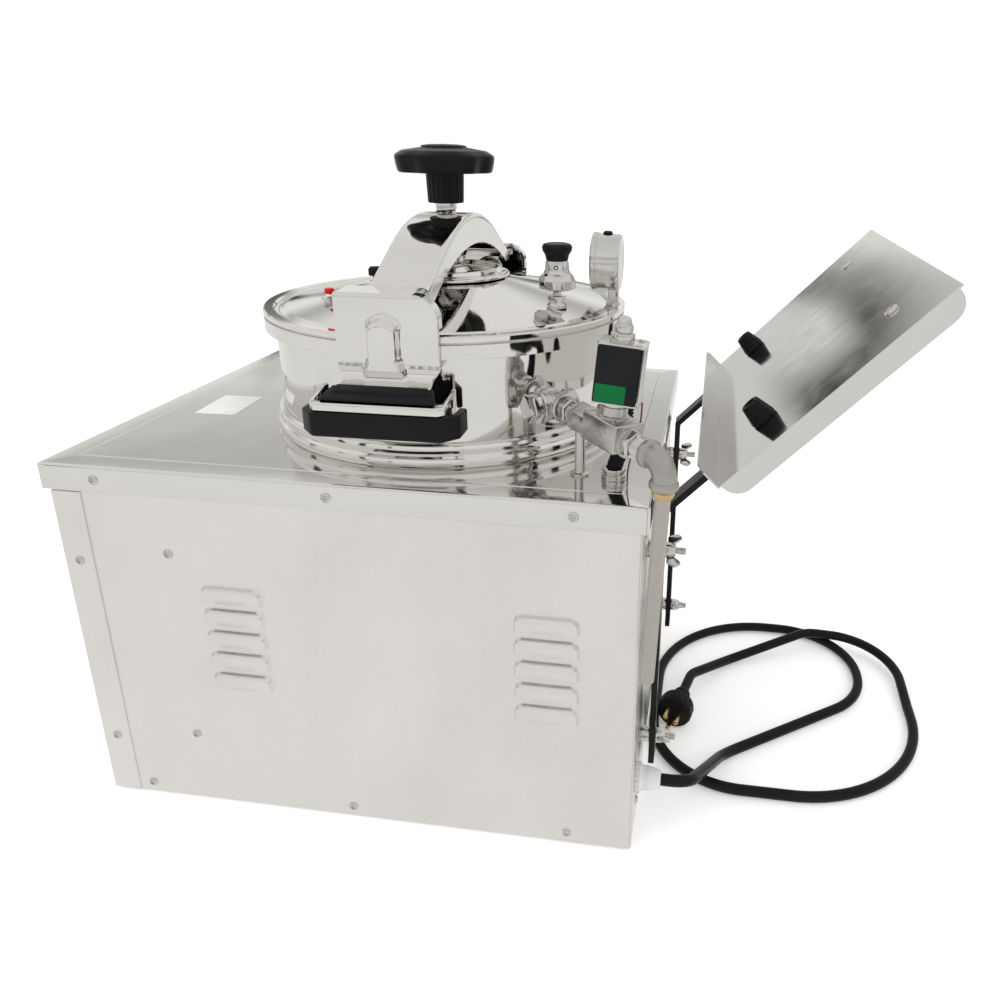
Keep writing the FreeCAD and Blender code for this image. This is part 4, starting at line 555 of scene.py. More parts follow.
def cover_sheet():
    """The folded cover with its sunk border, and the remains of labels and glue."""
    low, high = span("top_cover")
    edge = sheet_edge(low, high, 0)
    centre = Vector((POT.translation.x, POT.translation.y))

    def hole(z):
        return [Vector((*(centre + (p - centre).normalized() * (RIM_RADIUS - 8)), z)) for p in edge]

    def rim(inward, z):
        return [Vector((p.x, p.y, z)) for p in sheet_edge(low, high, inward)]

    top = high.z
    rows = [hole(top), rim(22.3, top), rim(21.9, top - 0.5), rim(20.3, top - 0.5), rim(19.9, top)]
    for step in range(11):
        angle = radians(9 * step)
        rows.append(rim(2.4 * (1 - sin(angle)), top - 2.4 * (1 - cos(angle))))
    rows += [rim(0, low.z + 0.5), rim(0.5, low.z), rim(1.1, low.z), rim(1.5, low.z + 0.5),
             rim(1.5, top - 2.5), rim(2.5, top - 1.5), hole(top - 1.5)]
    piece("cover_sheet", tidy_mesh(loft(rows, round_trip=True)), COVER, "top_cover", sharp=radians(14))
    label = slab(fillet([(-28, -19, 2), (28, -19, 2), (28, 19, 2), (-28, 19, 2)], 3), 0, 0.25, 0.1)
    piece("cover_label", label, LABEL, "top_cover", shift(28, -172, top) @ spin(3), replace=False)
    for side in (-1, 1):
        glue = []
        for k in range(26):
            y = low.y + 24 + 17 * k + 5 * sin(2.3 * k)
            long = 3 + 9 * abs(sin(1.7 * k + 0.6 * side))
            tall = 0.5 + 1.1 * abs(sin(3.1 * k + 0.4))
            glue.append(box((-0.1, y, low.z - tall), (0.25, y + long, low.z + 0.1), 0.08, 0.3))
        face = (high.x - low.x) / 2 - 4.7
        turn = WORLD if side > 0 else spin(180)
        piece("cover_glue_right" if side > 0 else "cover_glue_left", glue, LABEL_GLUE, "top_cover",
              turn @ shift(face, 0, 0), replace=False)


def hood_height(along, down, half, tall, out):
    """How far a pressed hood stands off the sheet: rolled over its top and round ends, open below."""
    corner = 7.0
    if down < 0 or down > tall or abs(along) > half:
        return 0.0
    inward = min(down, half - abs(along))
    across, above = abs(along) - (half - corner), corner - down
    if across > 0 and above > 0:
        inward = corner - hypot(across, above)
    if inward <= 0:
        return 0.0
    rim = sin(pi / 2 * min(1.0, inward / 2.6))
    dish = 0.30 * sin(pi * min(1.0, max(0.0, inward - 2.6) / 10.9))
    return out * (rim - dish)


def side_sheets():
    """Both side sheets, one surface with its louvres pressed out."""
    half, tall, out, pitch, first, count = 25.5, 13.5, 4.0, 20.0, 216.0, 5
    low, high = span("side_panels")
    face = high.x - out
    stacks = (-92.5, 160.5)
    lines_y = {low.y, high.y}
    for middle in stacks:
        lines_y |= {middle - half - 1 + k * (2 * half + 2) / 68 for k in range(69)}
    lines_y |= {low.y + k * (high.y - low.y) / 24 for k in range(25)
                if all(abs(low.y + k * (high.y - low.y) / 24 - m) > half + 4 for m in stacks)}
    lines_z = {low.z, high.z, 100.0, 60.0, 30.0, 240.0, 270.0}
    for step in range(count):
        top = first - step * pitch
        lines_z |= {top + 1, top} | {top - tall * k / 20 for k in range(1, 21)}
        lines_z |= {top - tall - 0.05, top - tall - 1.5}
    lines_y, lines_z = sorted(lines_y), sorted(lines_z)

    def height(y, z):
        for middle in stacks:
            for step in range(count):
                reach = hood_height(y - middle, first - step * pitch - z, half, tall, out)
                if reach:
                    return reach
        return 0.0

    shape = sheet_between([[(face + height(y, z), y, z) for y in lines_y] for z in lines_z],
                          [[(face - 1.2 + 0.94 * height(y, z), y, z) for y in lines_y] for z in lines_z])
    # Painted shade: a grey block fills each louvre mouth under its hood, standing for the shaded inside
    # of the opening.
    shades = []
    for middle in stacks:
        for step in range(count):
            bottom = first - step * pitch - tall
            mouth = box((face + 0.2, middle - half + 3.2, bottom - 0.35),
                        (face + out - 1.6, middle + half - 3.2, bottom + 0.3), 0.1)
            shades.append(mouth)
    piece("side_sheets", mirrored(shape), SATIN, "side_panels", sharp=radians(50))
    piece("louver_mouth_painted_shade", [part for mouth in shades for part in mirrored(mouth)], SHADE, "side_panels",
          replace=False)


# ---------------------------------------------------------------- exhaust line

def ribbed(points, radius, ridge, pitch):
    """A corrugated hose along a path."""
    return tube(points, lambda run: radius + ridge * cos(2 * pi * run / pitch), 24)


def conduit_hose():
    """The ribbed hose from the cover to the coil, with its nut and the earth wire."""
    entry = 34.6
    path = [
        (CONDUIT_HOLE + Vector((0, 0, -12)), 0), (CONDUIT_HOLE + Vector((0, 0, 8)), 12),
        (PORT @ Vector((80, 20, -17)), 12), (COIL_BLOCK @ Vector((-33, 6, entry - 16)), 14),
        (COIL_BLOCK @ Vector((-33, 3, entry)), 8), (COIL_BLOCK @ Vector((-20.4, 3, entry)), 0),
    ]
    fine = []
    rough = bent_path(path, 0.7)
    for here, ahead in zip(rough, rough[1:]):
        steps = max(1, int((ahead - here).length / 0.7))
        fine += [here.lerp(ahead, k / steps) for k in range(steps)]
    fine.append(rough[-1])
    piece("conduit_hose", ribbed(fine, 5.6, 0.5, 2.8), RUBBER, "conduit", sharp=radians(80))
    nut = lathe([(6.3, 0), (9.6, 0, 0.6), (9.6, 3.4, 0.6), (8.4, 4), (8.4, 5.2), (9.2, 5.8, 0.5),
                 (9.2, 8.6, 0.5),
                 (6.3, 8.6)], 48)
    piece("conduit_gland", nut, TURNED, "conduit", shift(*CONDUIT_HOLE), replace=False)
    start = Vector((146, 214, COVER_TOP))
    run = [start, start + Vector((1, 1, 14)), COIL_BLOCK @ Vector((3, 19.5, 8)),
           COIL_BLOCK @ Vector((3, 19.6, 20)),
           COIL_BLOCK @ Vector((1, 19, 26))]
    piece("earth_wires", tube(smooth_path(run, 2), 0.6, 10), WIRE, "conduit", replace=False)


def solenoid():
    """Coil, blank label, folded yoke, nut and guide tube."""
    low, tall = 24.0, 42.6
    outline = fillet([(-15, -15, 2.5), (15, -15, 2.5), (15, 15, 2.5), (-15, 15, 2.5)], 5)
    block = slab(outline, low + 1.6, low + tall - 1.6, 1.2)
    entry = moved(lathe([(0, 0), (4.6, 0, 0.5), (4.6, 6, 0.8), (0, 6)], 40),
                  shift(-14.8, 3, low + 10.6) @ spin(-90, "Y"))
    piece("coil_block", [block, entry], COIL, "solenoid_coil", COIL_BLOCK)
    label = slab(fillet([(-13.6, 0, 0.6), (7.6, 0, 0.6), (7.6, 12.6, 0.6), (-13.6, 12.6, 0.6)], 2), 0,
                 0.3, 0.1)
    stand = shift(15, 0, low + 2.4) @ Matrix(((0, 0, 1, 0), (1, 0, 0, 0), (0, 1, 0, 0), (0, 0, 0, 1)))
    piece("coil_label", label, GREEN, "solenoid_coil", COIL_BLOCK @ stand, replace=False)
    yoke = []
    for level in (low, low + tall - 1.5):
        yoke.append(box((-13, -15, level), (13, 17.6, level + 1.5), 0.35, 1.2))
    yoke.append(box((-13, 16.2, low + 0.4), (13, 18, low + tall - 0.4), 0.5))
    heads = []
    for x in (-9, 9):
        heads.append(moved(lathe([(0, 0), (1.9, 0), (1.9, 0.9, 0.4), (0, 1.2)], 24),
                           shift(x, 12.5, low + tall)))
    piece("coil_yoke", yoke + heads, TURNED, "solenoid_yoke", COIL_BLOCK)
    lock = slab(hexagon(15), 0, 6, 0.9)
    washer = lathe([(5.6, -0.05), (8.4, -0.05), (8.4, 0.9, 0.3), (5.6, 0.9)], 48)
    dome = lathe([(0, 6), (5.6, 6), (5.8, 10, 2), (5.4, 13, 3), (4.2, 16.6, 3), (0, 17.8)], 48)
    cap = slab(hexagon(11.8), 6.4, 11.4, 0.8)
    piece("coil_lock_nut", [lock, washer, dome, cap], TURNED, "coil_nut",
          VALVE @ shift(0, 0, low + tall + 0.05))
    tube_top = screw_thread(5.4, low + tall - 2, low + tall + 9)
    neck = lathe([(0, 21), (9.2, 21, 0.4), (9.2, 23.5, 0.4), (5.5, 23.6), (5.5, 66), (0, 66)], 48)
    piece("guide_tube", [neck, tube_top], TURNED, "solenoid_tube", VALVE)


def valve_block():
    """The valve body with its hexagon inlet and a plain flow arrow."""
    block = slab(fillet([(-18, -13, 1), (20, -13, 1), (20, 13, 1), (-18, 13, 1)], 3), -8, 13, 1.6)
    inlet = moved(slab(hexagon(22), -37, -17, 1.2), ALONG)
    throat = lathe([(0, 12), (11.5, 12), (11.5, 14, 0.6), (10, 15, 0.5), (10, 21), (0, 21)], 64)
    bands = [moved(lathe([(5, s), (11.2, s, 0.8), (11.2, s + 3, 0.8), (5, s + 3)], 48),
                   ALONG) for s in (-39, 19.2)]
    arrow = slab([Vector(p) for p in ((-7, 3.3), (4, 3.3), (4, 0.8), (10, 4.5), (4, 8.2), (4, 5.7),
                                      (-7, 5.7))],
                 12.9, 13.8, 0.2)
    piece("valve_block", [block, inlet, throat, moved(arrow, ACROSS)] + bands, MACHINED, "valve_body",
          VALVE)


def line_fittings():
    """The line's nipples, four-way fitting, elbow, drop pipe and support post."""
    boss = moved(lathe([(5, -2), (12.4, -2), (10.2, 1.4, 1.5), (9.2, 3), (9.2, 6.4, 0.8), (6.8, 7),
                        (5, 7)]), ALONG)
    first = moved(screw_thread(6.7, 5, 12), ALONG)
    inlet = moved(slab(hexagon(17), 36, 43, 1.0), ALONG)
    bar = moved(lathe([(0, 32), (6.7, 32), (6.7, 58), (0, 58)], 48), ALONG)
    outlet = moved(screw_thread(6.8, 109, 131, 1.5, 0.8), ALONG)
    hexes = moved(slab(hexagon(18), 111, 119, 1.0), ALONG)
    plug = moved(slab(hexagon(22), 17.2, 26, 1.4), CROSS @ ACROSS)
    washer = moved(lathe([(0, 15.02), (12.6, 15.02, 0.6), (12.6, 17.4, 0.6), (0, 17.4)], 64),
                   CROSS @ ACROSS)
    piece("line_nipples", [boss, first, inlet, bar, outlet, hexes, plug, washer], TURNED,
          "exhaust_nipples", PORT)
    arms = []
    for turn in (ALONG, ALONG @ Matrix.Rotation(pi, 4, "X"), spin(90, "X"), spin(-90, "X"),
                 spin(180, "X")):
        arm = lathe([(0, -2), (8.8, -2), (8.8, 7.2, 2), (10.6, 8.4, 1.2), (10.6, 11.6, 1.2),
                     (9.4, 12.4, 0.5),
                     (0, 12.4)] if turn is not ALONG else
                    [(0, -2), (8.8, -2), (8.8, 6.6, 2), (10.6, 7.8, 1.2), (10.6, 10.8, 1.2),
                     (9.2, 11.4, 0.5),
                     (0, 11.4)], 56)
        arms.append(moved(arm, CROSS @ turn))
    for sign in (-1, 1):
        arms.append(moved(lathe([(0, 11), (9.5, 11), (10.6, 12, 1), (10.6, 15, 1), (0, 15)], 56),
                          CROSS @ spin(90 * sign, "X")))
    piece("cross_casting", arms, FITTING, "exhaust_cross", PORT, sharp=radians(60))
    end, turn = 149, 13
    bend = [Vector((end - turn - 5, 0, 0))]
    for step in range(15):
        angle = pi / 2 * step / 14
        bend.append(Vector((end - turn + turn * sin(angle), 0, -turn + turn * cos(angle))))
    bend.append(Vector((end, 0, -turn - 4)))
    mouths = [moved(lathe([(7, s), (9.0, s), (10.2, s + 1.6, 1.2), (10.2, s + 4.6, 1.2), (8.4, s + 6.4),
                           (7, s + 6.4)],
                          64), place) for s, place in
              ((end - turn - 7, ALONG), (turn, shift(end, 0, 0) @ spin(180, "X")))]
    piece("elbow_casting", [tube(bend, 8.5, 64)] + mouths, CAST, "exhaust_elbow", PORT,
          sharp=radians(60))
    pipe = lathe([(4, -174), (5.5, -174), (5.5, -18), (4, -18)], 48)
    nut = lathe([(5, -19.4), (8.6, -19.4), (8.6, -18, 0.5), (5, -18)], 48)
    piece("drop_tube", [pipe, nut], DRAWN, "drop_pipe", PORT @ shift(end, 0, 0))
    olive = lathe([(5.4, -25), (6.6, -25, 0.4), (7.6, -23, 0.8), (7.6, -20.4, 0.8), (6.8, -19.3),
                   (5.4, -19.3)], 64)
    piece("drop_olive", olive, BRASS, "drop_pipe", PORT @ shift(end, 0, 0), replace=False)
    base = shift(136, 176.7, COVER_TOP)
    foot = lathe([(0, 0.02), (7.5, 0.02), (7.5, 1.6, 0.6), (4.6, 2.4, 0.6), (4, 4), (4, 44), (0, 44)],
                 48)
    piece("support_post", foot, FITTING, "valve_post", base)


# ---------------------------------------------------------------- knob

def knob_grip():
    """The lobed grip with a fluted hub."""
    low, high = span("knob")
    top, hub = high.z, low.z

    def change(radius, z, angle):
        if radius > 26:
            dip = (0.5 + 0.5 * cos(8 * (angle - radians(22.5)))) ** 1.4
            low_down = min(1.0, max(0.0, (top - 4 - z) / 12))
            return radius - (1.2 + 2.2 * low_down) * dip * (radius - 26) / 17
        if z < top - 22 and radius > 12:
            return radius - 0.9 * (0.5 + 0.5 * cos(20 * angle)) ** 1.5
        return radius

    profile = [(9.05, hub), (15.2, hub, 0.8), (16.2, top - 21, 1.5), (26, top - 18.4, 3),
               (33, top - 22, 2.5),
               (40.6, top - 23, 2.5), (42.2, top - 16, 4), (43, top - 9.2, 3), (36, top - 5.2, 4),
               (21, top - 2.9, 1),
               (19.6, top - 3.2, 0.5), (18.6, top - 1.2, 0.8), (12, top - 0.3, 3), (0, top),
               (0, top - 19.9),
               (9.05, top - 19.9)]
    piece("knob_grip", lathe(profile, 256, 3, change), BAKELITE, "knob", POT, sharp=radians(45))


def screw_shaft():
    """The clamping screw: thread, plain neck and tip."""
    low, high = span("clamp_screw")
    neck = high.z - 30
    shaft = screw_thread(9, low.z + 9, neck, 4, 1.3, 64)
    tip = lathe([(0, low.z), (6, low.z, 1), (6, low.z + 8), (8, low.z + 10), (0, low.z + 10)], 64)
    plain = lathe([(0, neck - 1), (9, neck - 1, 0.8), (9, high.z, 0.8), (0, high.z)], 64)
    piece("clamp_spindle", [shaft, plain, tip], TURNED, "clamp_screw", POT)


# ---------------------------------------------------------------- lid fittings

def relief_valve():
    low, high = span("relief_cap")
    centre = (low + high) / 2
    base = low.z - 38.02
    here = shift(centre.x, centre.y, base)
    weight = lathe([(3.9, 14), (12, 14, 1), (15.3, 15.4, 1), (15.3, 21.8, 1), (13, 25.8, 1.5),
                    (11, 27.4, 1),
                    (10, 30, 2), (9.2, 37.6, 1), (3.9, 38)],
                   96, 3, lambda r, z, a: r - (0.5 * abs(sin(6 * a)) if r > 13 and z < 24 else 0))
    # Painted shade: the vent is a near-black disc set on the weight, not a hole.
    vent = moved(lathe([(0, 0), (1.9, 0), (1.9, 0.4), (1.2, 0.4), (1.2, -1), (0, -1)], 20),
                 spin(5) @ shift(9.5, 0, 32.6) @ spin(90, "Y"))
    piece("relief_body", [weight, vent], [TURNED, HOLE_SHADE_AND_DARK_GLASS], "relief_weight", here)
    cap = lathe([(0, 38.02), (9, 38.02, 0.5), (9.6, 41.5, 1.5), (12, 45.5, 2), (12.5, 48.4, 1.5),
                 (11, 50.6, 1.2),
                 (8, 51.3, 1), (0, 50.9)], 96)
    piece("relief_cap_moulding", cap, BAKELITE, "relief_cap", here)
    nut = slab(hexagon(13.5), 1, 9, 0.9)
    flange = lathe([(0, -1), (8.4, -1), (8.4, 1.2, 0.4), (3.4, 9), (3.4, 22), (1.6, 27), (0, 27)], 48)
    piece("relief_stem", [nut, flange], TURNED, "relief_seat", here)


def float_valve():
    low, high = span("float_pin")
    centre = (low + high) / 2
    here = shift(centre.x, centre.y, low.z + 14)
    stem = lathe([(0, -14), (3.5, -14, 0.4), (3.5, -12), (1.5, -11.5), (1.5, 3.7), (0, 3.7)], 40)
    collar = lathe([(0, 3.6), (2.4, 3.6), (3.0, 4.2, 0.3), (3.0, 6.2), (0, 6.2)], 40)
    head = lathe([(0, 6), (3.2, 6, 0.4), (3.9, 6.8, 0.5), (3.9, 9.6, 0.8), (3, 10.4, 0.5), (0, 10.4)],
                 40)
    piece("float_rod", [stem, collar, head], [NICKEL, DIAL, RED], "float_pin", here)


def gauge():
    """The gauge's case, and the marks and zone on its dial."""
    dial_low, dial_high = span("gauge_dial")
    middle = (dial_low + dial_high) / 2
    here = shift(middle.x, span("gauge_case")[0].y, middle.z) @ spin(90, "X")
    drum = lathe([(0, -25), (23.2, -25, 1.5), (24, -22, 1), (24, -5.2), (25, -5, 0.6), (25, -0.4, 1.6),
                  (22, 0, 0.6),
                  (21.6, -3.6), (22, -3.8), (22, -8.2), (0, -8.2)], 160)
    stem = moved(lathe([(0, 0), (3.2, 0), (3.2, 16), (0, 16)], 40), shift(0, -41, -19) @ spin(-90, "X"))
    block = box((-4.5, -35, -23.5), (4.5, -22.5, -14.5), 0.7)
    nut = moved(slab(hexagon(12), 0, 5, 0.6), shift(0, -39.8, -19) @ spin(-90, "X"))
    piece("gauge_drum", [drum, stem, block, nut], TURNED, "gauge_case", here)
    vent = moved(lathe([(0, 0), (4.2, 0), (4.2, 1.2, 0.4), (3.0, 2.6, 0.5), (0, 2.8)], 40),
                 shift(0, 23.7, -13) @ spin(-90, "X"))
    piece("gauge_vent", vent, RUBBER, "gauge_case", here, replace=False)
    face = -7.95
    marks = []
    for step in range(31):
        reach = 3.6 if step % 5 == 0 else 2.0
        tick = box((17.6 - reach, -0.22 if step % 5 else -0.4, 0),
                   (17.6, 0.22 if step % 5 else 0.4, 0.12), 0.03)
        marks.append(moved(tick, spin(225 - 9 * step) @ shift(0, 0, face + 1)))
    piece("gauge_marks", marks, PAINT, "gauge_dial", here, replace=False)
    zone = []
    for step in range(24):
        first, last = radians(-45 + 2 * step), radians(-43 + 2 * step)
        ring = [Vector((r * cos(a), r * sin(a))) for r, a in
                ((18.2, first), (19.6, first), (19.6, last), (18.2, last))]
        zone.append(slab(ring, face + 1, face + 1.12, 0.02))
    piece("gauge_zone", zone, RED, "gauge_dial", here, replace=False)


# ---------------------------------------------------------------- ears and grips

def step_up(value, low, high):
    """0 below low, 1 above high, and a smooth rise between."""
    t = max(0.0, min(1.0, (value - low) / (high - low)))
    return t * t * (3 - 2 * t)


def ear_profile():
    """The ear's section from its inner flange, over the bend and down the plate, to the flared foot."""
    points = [(130 + k * 3, 448.2) for k in range(10)]
    for step in range(7):
        angle = radians(15 * step)
        points.append((158 + 3 * sin(angle), 445.2 + 3 * cos(angle)))
    points += [(161, 444 - k * 49 / 40) for k in range(41)]
    for step in range(1, 13):
        angle = radians(7.5 * step)
        points.append((171 - 10 * cos(angle), 395 - 10 * sin(angle)))
    points.append((174, 385))
    return points


def ear_pressing():
    """The ears: a pressed sheet with a boss and a flared foot, its hem, web and strut."""
    profile = ear_profile()
    columns = 76
    grid, normals = [], []
    for index, (x, z) in enumerate(profile):
        before = profile[max(index - 1, 0)]
        after = profile[min(index + 1, len(profile) - 1)]
        run = Vector((after[0] - before[0], 0, after[1] - before[1])).normalized()
        normal = Vector((-run.z, 0, run.x))
        if normal.x < 0 or (abs(normal.x) < 1e-6 and normal.z < 0):
            normal = -normal
        low, high = -37.75, 37.75
        if z > 430.2:
            high = 37.75 - (18 - sqrt(max(0.0, 324 - (min(z, 448.2) - 430.2) ** 2)))
        if z < 395:
            narrow = 5 * step_up(395 - z, 0, 8)
            low, high = low + narrow, high - narrow
        row, line = [], []
        for k in range(columns + 1):
            y = low + (high - low) * k / columns
            spread_out = 3.5 * step_up(404 - z, 0, 12)
            half = 13 + spread_out
            side = step_up(half - abs(y + 2), -0.5, 4.5)
            end = step_up(433 - z - 0.04 * (y + 2) ** 2, -1, 6) if z < 445 else 0
            foot = 1 - step_up(391 - z, 0, 5)
            raise_by = 7.6 * side * end * foot
            point = Vector((x, y, z)) + normal * raise_by
            row.append(point)
            line.append(normal)
        grid.append(row)
        normals.append(line)
    behind = [[p - n * 3 for p, n in zip(row, line)] for row, line in zip(grid, normals)]
    sheet = sheet_between(grid, behind)
    hem_outer, hem_inner = [], []
    for step in range(13):
        angle = radians(7.5 * step)
        centre_y, centre_z = 19.75, 430.2
        for reach, store in ((18, hem_outer), (15.6, hem_inner)):
            store.append((centre_y + reach * cos(angle), centre_z + reach * sin(angle)))
    hem_outer.insert(0, (37.75, 424))
    hem_inner.insert(0, (35.35, 424))
    loop = hem_outer + hem_inner[::-1]
    rings = [[Vector((x, y, z)) for y, z in loop] for x in (150, 158, 160.6)]
    hem = tidy_mesh(loft(rings))
    web = box((133, -37.7, 395), (161, 37.7, 398), 0.5)
    strut = box((150, -24, 350), (153, 24, 396), 0.6)
    wall = []
    for part in (sheet, hem, web, strut):
        wall += mirrored(part)
    piece("ear_pressings", wall, MIRROR, "ear_brackets", EARS, sharp=radians(50))


def grip_mouldings():
    low, top, out, half = 351.5, 385.0, 195.0, 58.0
    band_top = low + 18
    outer = [(165, -half), (out - 12, -half, 3), (out, 11 - half, 5), (out, half - 11, 5),
             (out - 12, half, 3),
             (165, half)]
    inner = [(165, half - 6), (out - 14, half - 6, 2), (out - 14, 6 - half, 2), (165, 6 - half)]
    band = slab(fillet(outer + inner, 4), low, band_top, 2.2, 5)
    core = box((out - 18, 18 - half, low + 1), (out - 9, half - 18, band_top + 6), 0.4)
    cap_low = band_top + 6.9
    plan = fillet([(out - 20.5, -37, 1), (out - 7, -42, 2), (out - 4, -40, 2), (out - 4, 40, 2),
                   (out - 7, 42, 2),
                   (out - 20.5, 37, 1)], 4)
    slope = tan(radians(22))
    cap = slab(plan, cap_low, top, 1.4, 4, drop=lambda x, y: max(0.0, (x - (out - 20.5)) * slope))
    pad_plan = fillet([(out - 19.5, -33, 1), (out - 11.5, -36, 2), (out - 11.5, 36, 2),
                       (out - 19.5, 33, 1)], 4)
    pad = slab(pad_plan, cap_low, top + 1.4, 0.9, 3, drop=lambda x,
               y: max(0.0, (x - (out - 20.5)) * slope))
    shapes = []
    for part in (band, core, cap, pad):
        shapes += mirrored(part)
    piece("grip_mouldings", shapes, BAKELITE, "handle_grips", EARS, sharp=radians(50))


def grip_trays():
    low, out, half = 351.5, 193.0, 49.0
    base = low + 18.02
    plan = fillet([(out - 9, -half), (out - 4, -half, 1), (out, 4 - half, 1.5), (out, half - 4, 1.5),
                   (out - 4, half, 1), (out - 9, half)], 3)
    strip = slab(plan, base, base + 6.8, 1.6, 4)
    side = fillet([(out - 33, low - 3.5), (out - 14, low - 3.5, 2), (out - 14, base), (out - 4, base),
                   (out - 4, base + 6.8, 2), (out - 28, low + 30, 1.5), (out - 33, low + 30)], 3)
    shapes = mirrored(strip)
    for start in (-half, half - 2.5):
        plate = moved(slab([Vector((p.x, p.y)) for p in side], -start - 2.5, -start, 0.6), ACROSS)
        shapes += mirrored(plate)
    shapes += mirrored(box((out - 33, -half, low - 3.5), (out - 14, half, low - 1.5), 0.5))
    piece("grip_trays", shapes, MIRROR, "handle_trims", EARS)
    # Painted shade: the slots are thin near-black strips laid on the side plates, not cut through.
    slots = []
    for start in (-half - 0.15, half - 0.15):
        for k in range(2):
            slot = box((out - 24 + 8 * k, start, low + 15.5 + 3.4 * (1 - k)),
                       (out - 19 + 8 * k, start + 0.3, low + 21.5 + 3.4 * (1 - k)), 0.1, 1.2)
            slots += mirrored(slot)
    piece("grip_tray_slots", slots, HOLE_SHADE_AND_DARK_GLASS, "handle_trims", EARS, replace=False)


# ---------------------------------------------------------------- lid, boss and rings

def lid_details():
    """The boss plate and its stop, the pot's trim ring, the screw's cup and the beam's nut."""
    top = span("lid_boss")[1].z - 5
    boss = lathe([(0, top - 3.98), (50, top - 3.98), (53, top - 2.4, 1), (53.5, top - 1, 1),
                  (52.6, top, 0.8),
                  (50.5, top, 0.4), (50, top + 1.0, 0.4), (47, top + 1.3, 0.6), (45.4, top + 4.8, 1.2),
                  (43.6, top + 5, 1),
                  (40, top + 0.4, 2), (17, top, 1.5), (14, top + 4.6, 1), (0, top + 5)], 192)
    piece("boss_plate", boss, MIRROR, "lid_boss", POT)
    block = box((40, -7, top - 0.2), (50, 7, top + 4.6), 1.2)
    piece("boss_stop", block, TURNED, "lid_boss", POT @ spin(62), replace=False)
    ring_low = span("pot_base_ring")[0].z
    ring = lathe([(147.05, ring_low), (151.2, ring_low, 0.5), (152.2, ring_low + 1.2, 1),
                  (153.4, ring_low + 4, 2),
                  (153, ring_low + 8.4, 2), (150.6, ring_low + 10.6, 1), (151, ring_low + 12.4, 1),
                  (152, ring_low + 15.4, 2), (151.2, ring_low + 18.6, 1.2),
                  (148.4, ring_low + 19.9, 0.6),
                  (147.05, ring_low + 19.9)], 256)
    piece("pot_trim_ring", ring, MIRROR, "pot_base_ring", POT)
    cup_low = span("thrust_cup")[0].z
    cup = lathe([(0, cup_low), (12, cup_low, 0.8), (13, cup_low + 2, 0.8), (13, cup_low + 9, 1),
                 (6.06, cup_low + 9, 0.3),
                 (6.06, cup_low + 2.9), (0, cup_low + 2.9)], 96)
    piece("thrust_socket", cup, TURNED, "thrust_cup", POT)
    low, high = span("beam_nut")
    nut = slab(hexagon(34, 1), low.z, high.z, 1.5)
    piece("beam_bush", nut, TURNED, "beam_nut", POT)


# ---------------------------------------------------------------- shelf

def shelf_fittings():
    here = shift(0, 280.2, 325) @ spin(46.4, "X")
    feet, screws = [], []
    for x in (-115, 115):
        foot = lathe([(4.5, 0.02), (10.2, 0.02, 0.8), (10.5, 2, 0.5), (7.6, 16, 1), (7, 17, 0.6),
                      (4.6, 17, 0.5), (4.5, 11)], 120, 3,
                     lambda r, z, a: r - (0.35 * (0.5 + 0.5 * cos(10 * a)) if r > 7.2 else 0))
        feet.append(moved(foot, shift(x, 47, 0)))
        head = lathe([(0, 0.02), (5.5, 0.02, 0.3), (5.4, 1.4, 0.8), (3.4, 2.6, 0.8), (1.7, 2.6, 0.2),
                      (1.5, 1.2),
                      (0, 1.2)], 48)
        screws.append(moved(head, shift(x, 164, 0)))
        for up in (47, 164):
            screws.append(moved(screw_thread(2.9, -9.2, 0.01, 1), shift(x, up, 0)))
            screws.append(moved(slab(hexagon(10), -10.2, -6.25, 0.6), shift(x, up, 0)))
    piece("shelf_buffers", feet, RUBBER, "shelf_feet", here, sharp=radians(60))
    piece("shelf_bolts", screws, TURNED, "shelf_screws", here)


def wing_fasteners():
    """Wing nuts and their stand-off studs, two a side."""
    face = span("wing_nuts")[0].y
    rear, tip = (corner.y for corner in span("arm_studs"))
    studs, nuts = [], []
    for x in (-111.5, 111.5):
        for level in (60, 242):
            turn = 35 if level > 100 else -20
            hub = lathe([(3, 0), (6.5, 0, 0.4), (6.2, 5, 1), (5, 9, 0.8), (3, 9)], 48)
            blades = []
            for sign in (-1, 1):
                edge = fillet([(sign * 3.5, 2.5), (sign * 12, 1.8, 2), (sign * 15.5, 10, 3.5),
                               (sign * 11, 14.6, 2),
                               (sign * 5, 6.5, 2)][::sign], 4)
                blades.append(moved(slab(edge, -1.3, 1.3, 0.8), ACROSS))
            spot = shift(x, face, level) @ spin(-90, "X") @ spin(turn)
            nuts += [moved(part, spot) for part in [hub] + blades]
            post = lathe([(0, 0), (7, 0, 0.3), (7, 7.6, 0.3), (3, 7.66), (0, 7.66)], 48)
            thread = screw_thread(3, 7.5, tip - rear, 1, 0.4)
            studs += [moved(part, shift(x, rear, level) @ spin(-90, "X")) for part in (post, thread)]
    piece("wing_fasteners", nuts, TURNED, "wing_nuts")
    piece("stand_off_studs", studs, TURNED, "arm_studs")


# ---------------------------------------------------------------- lead, plug and front controls

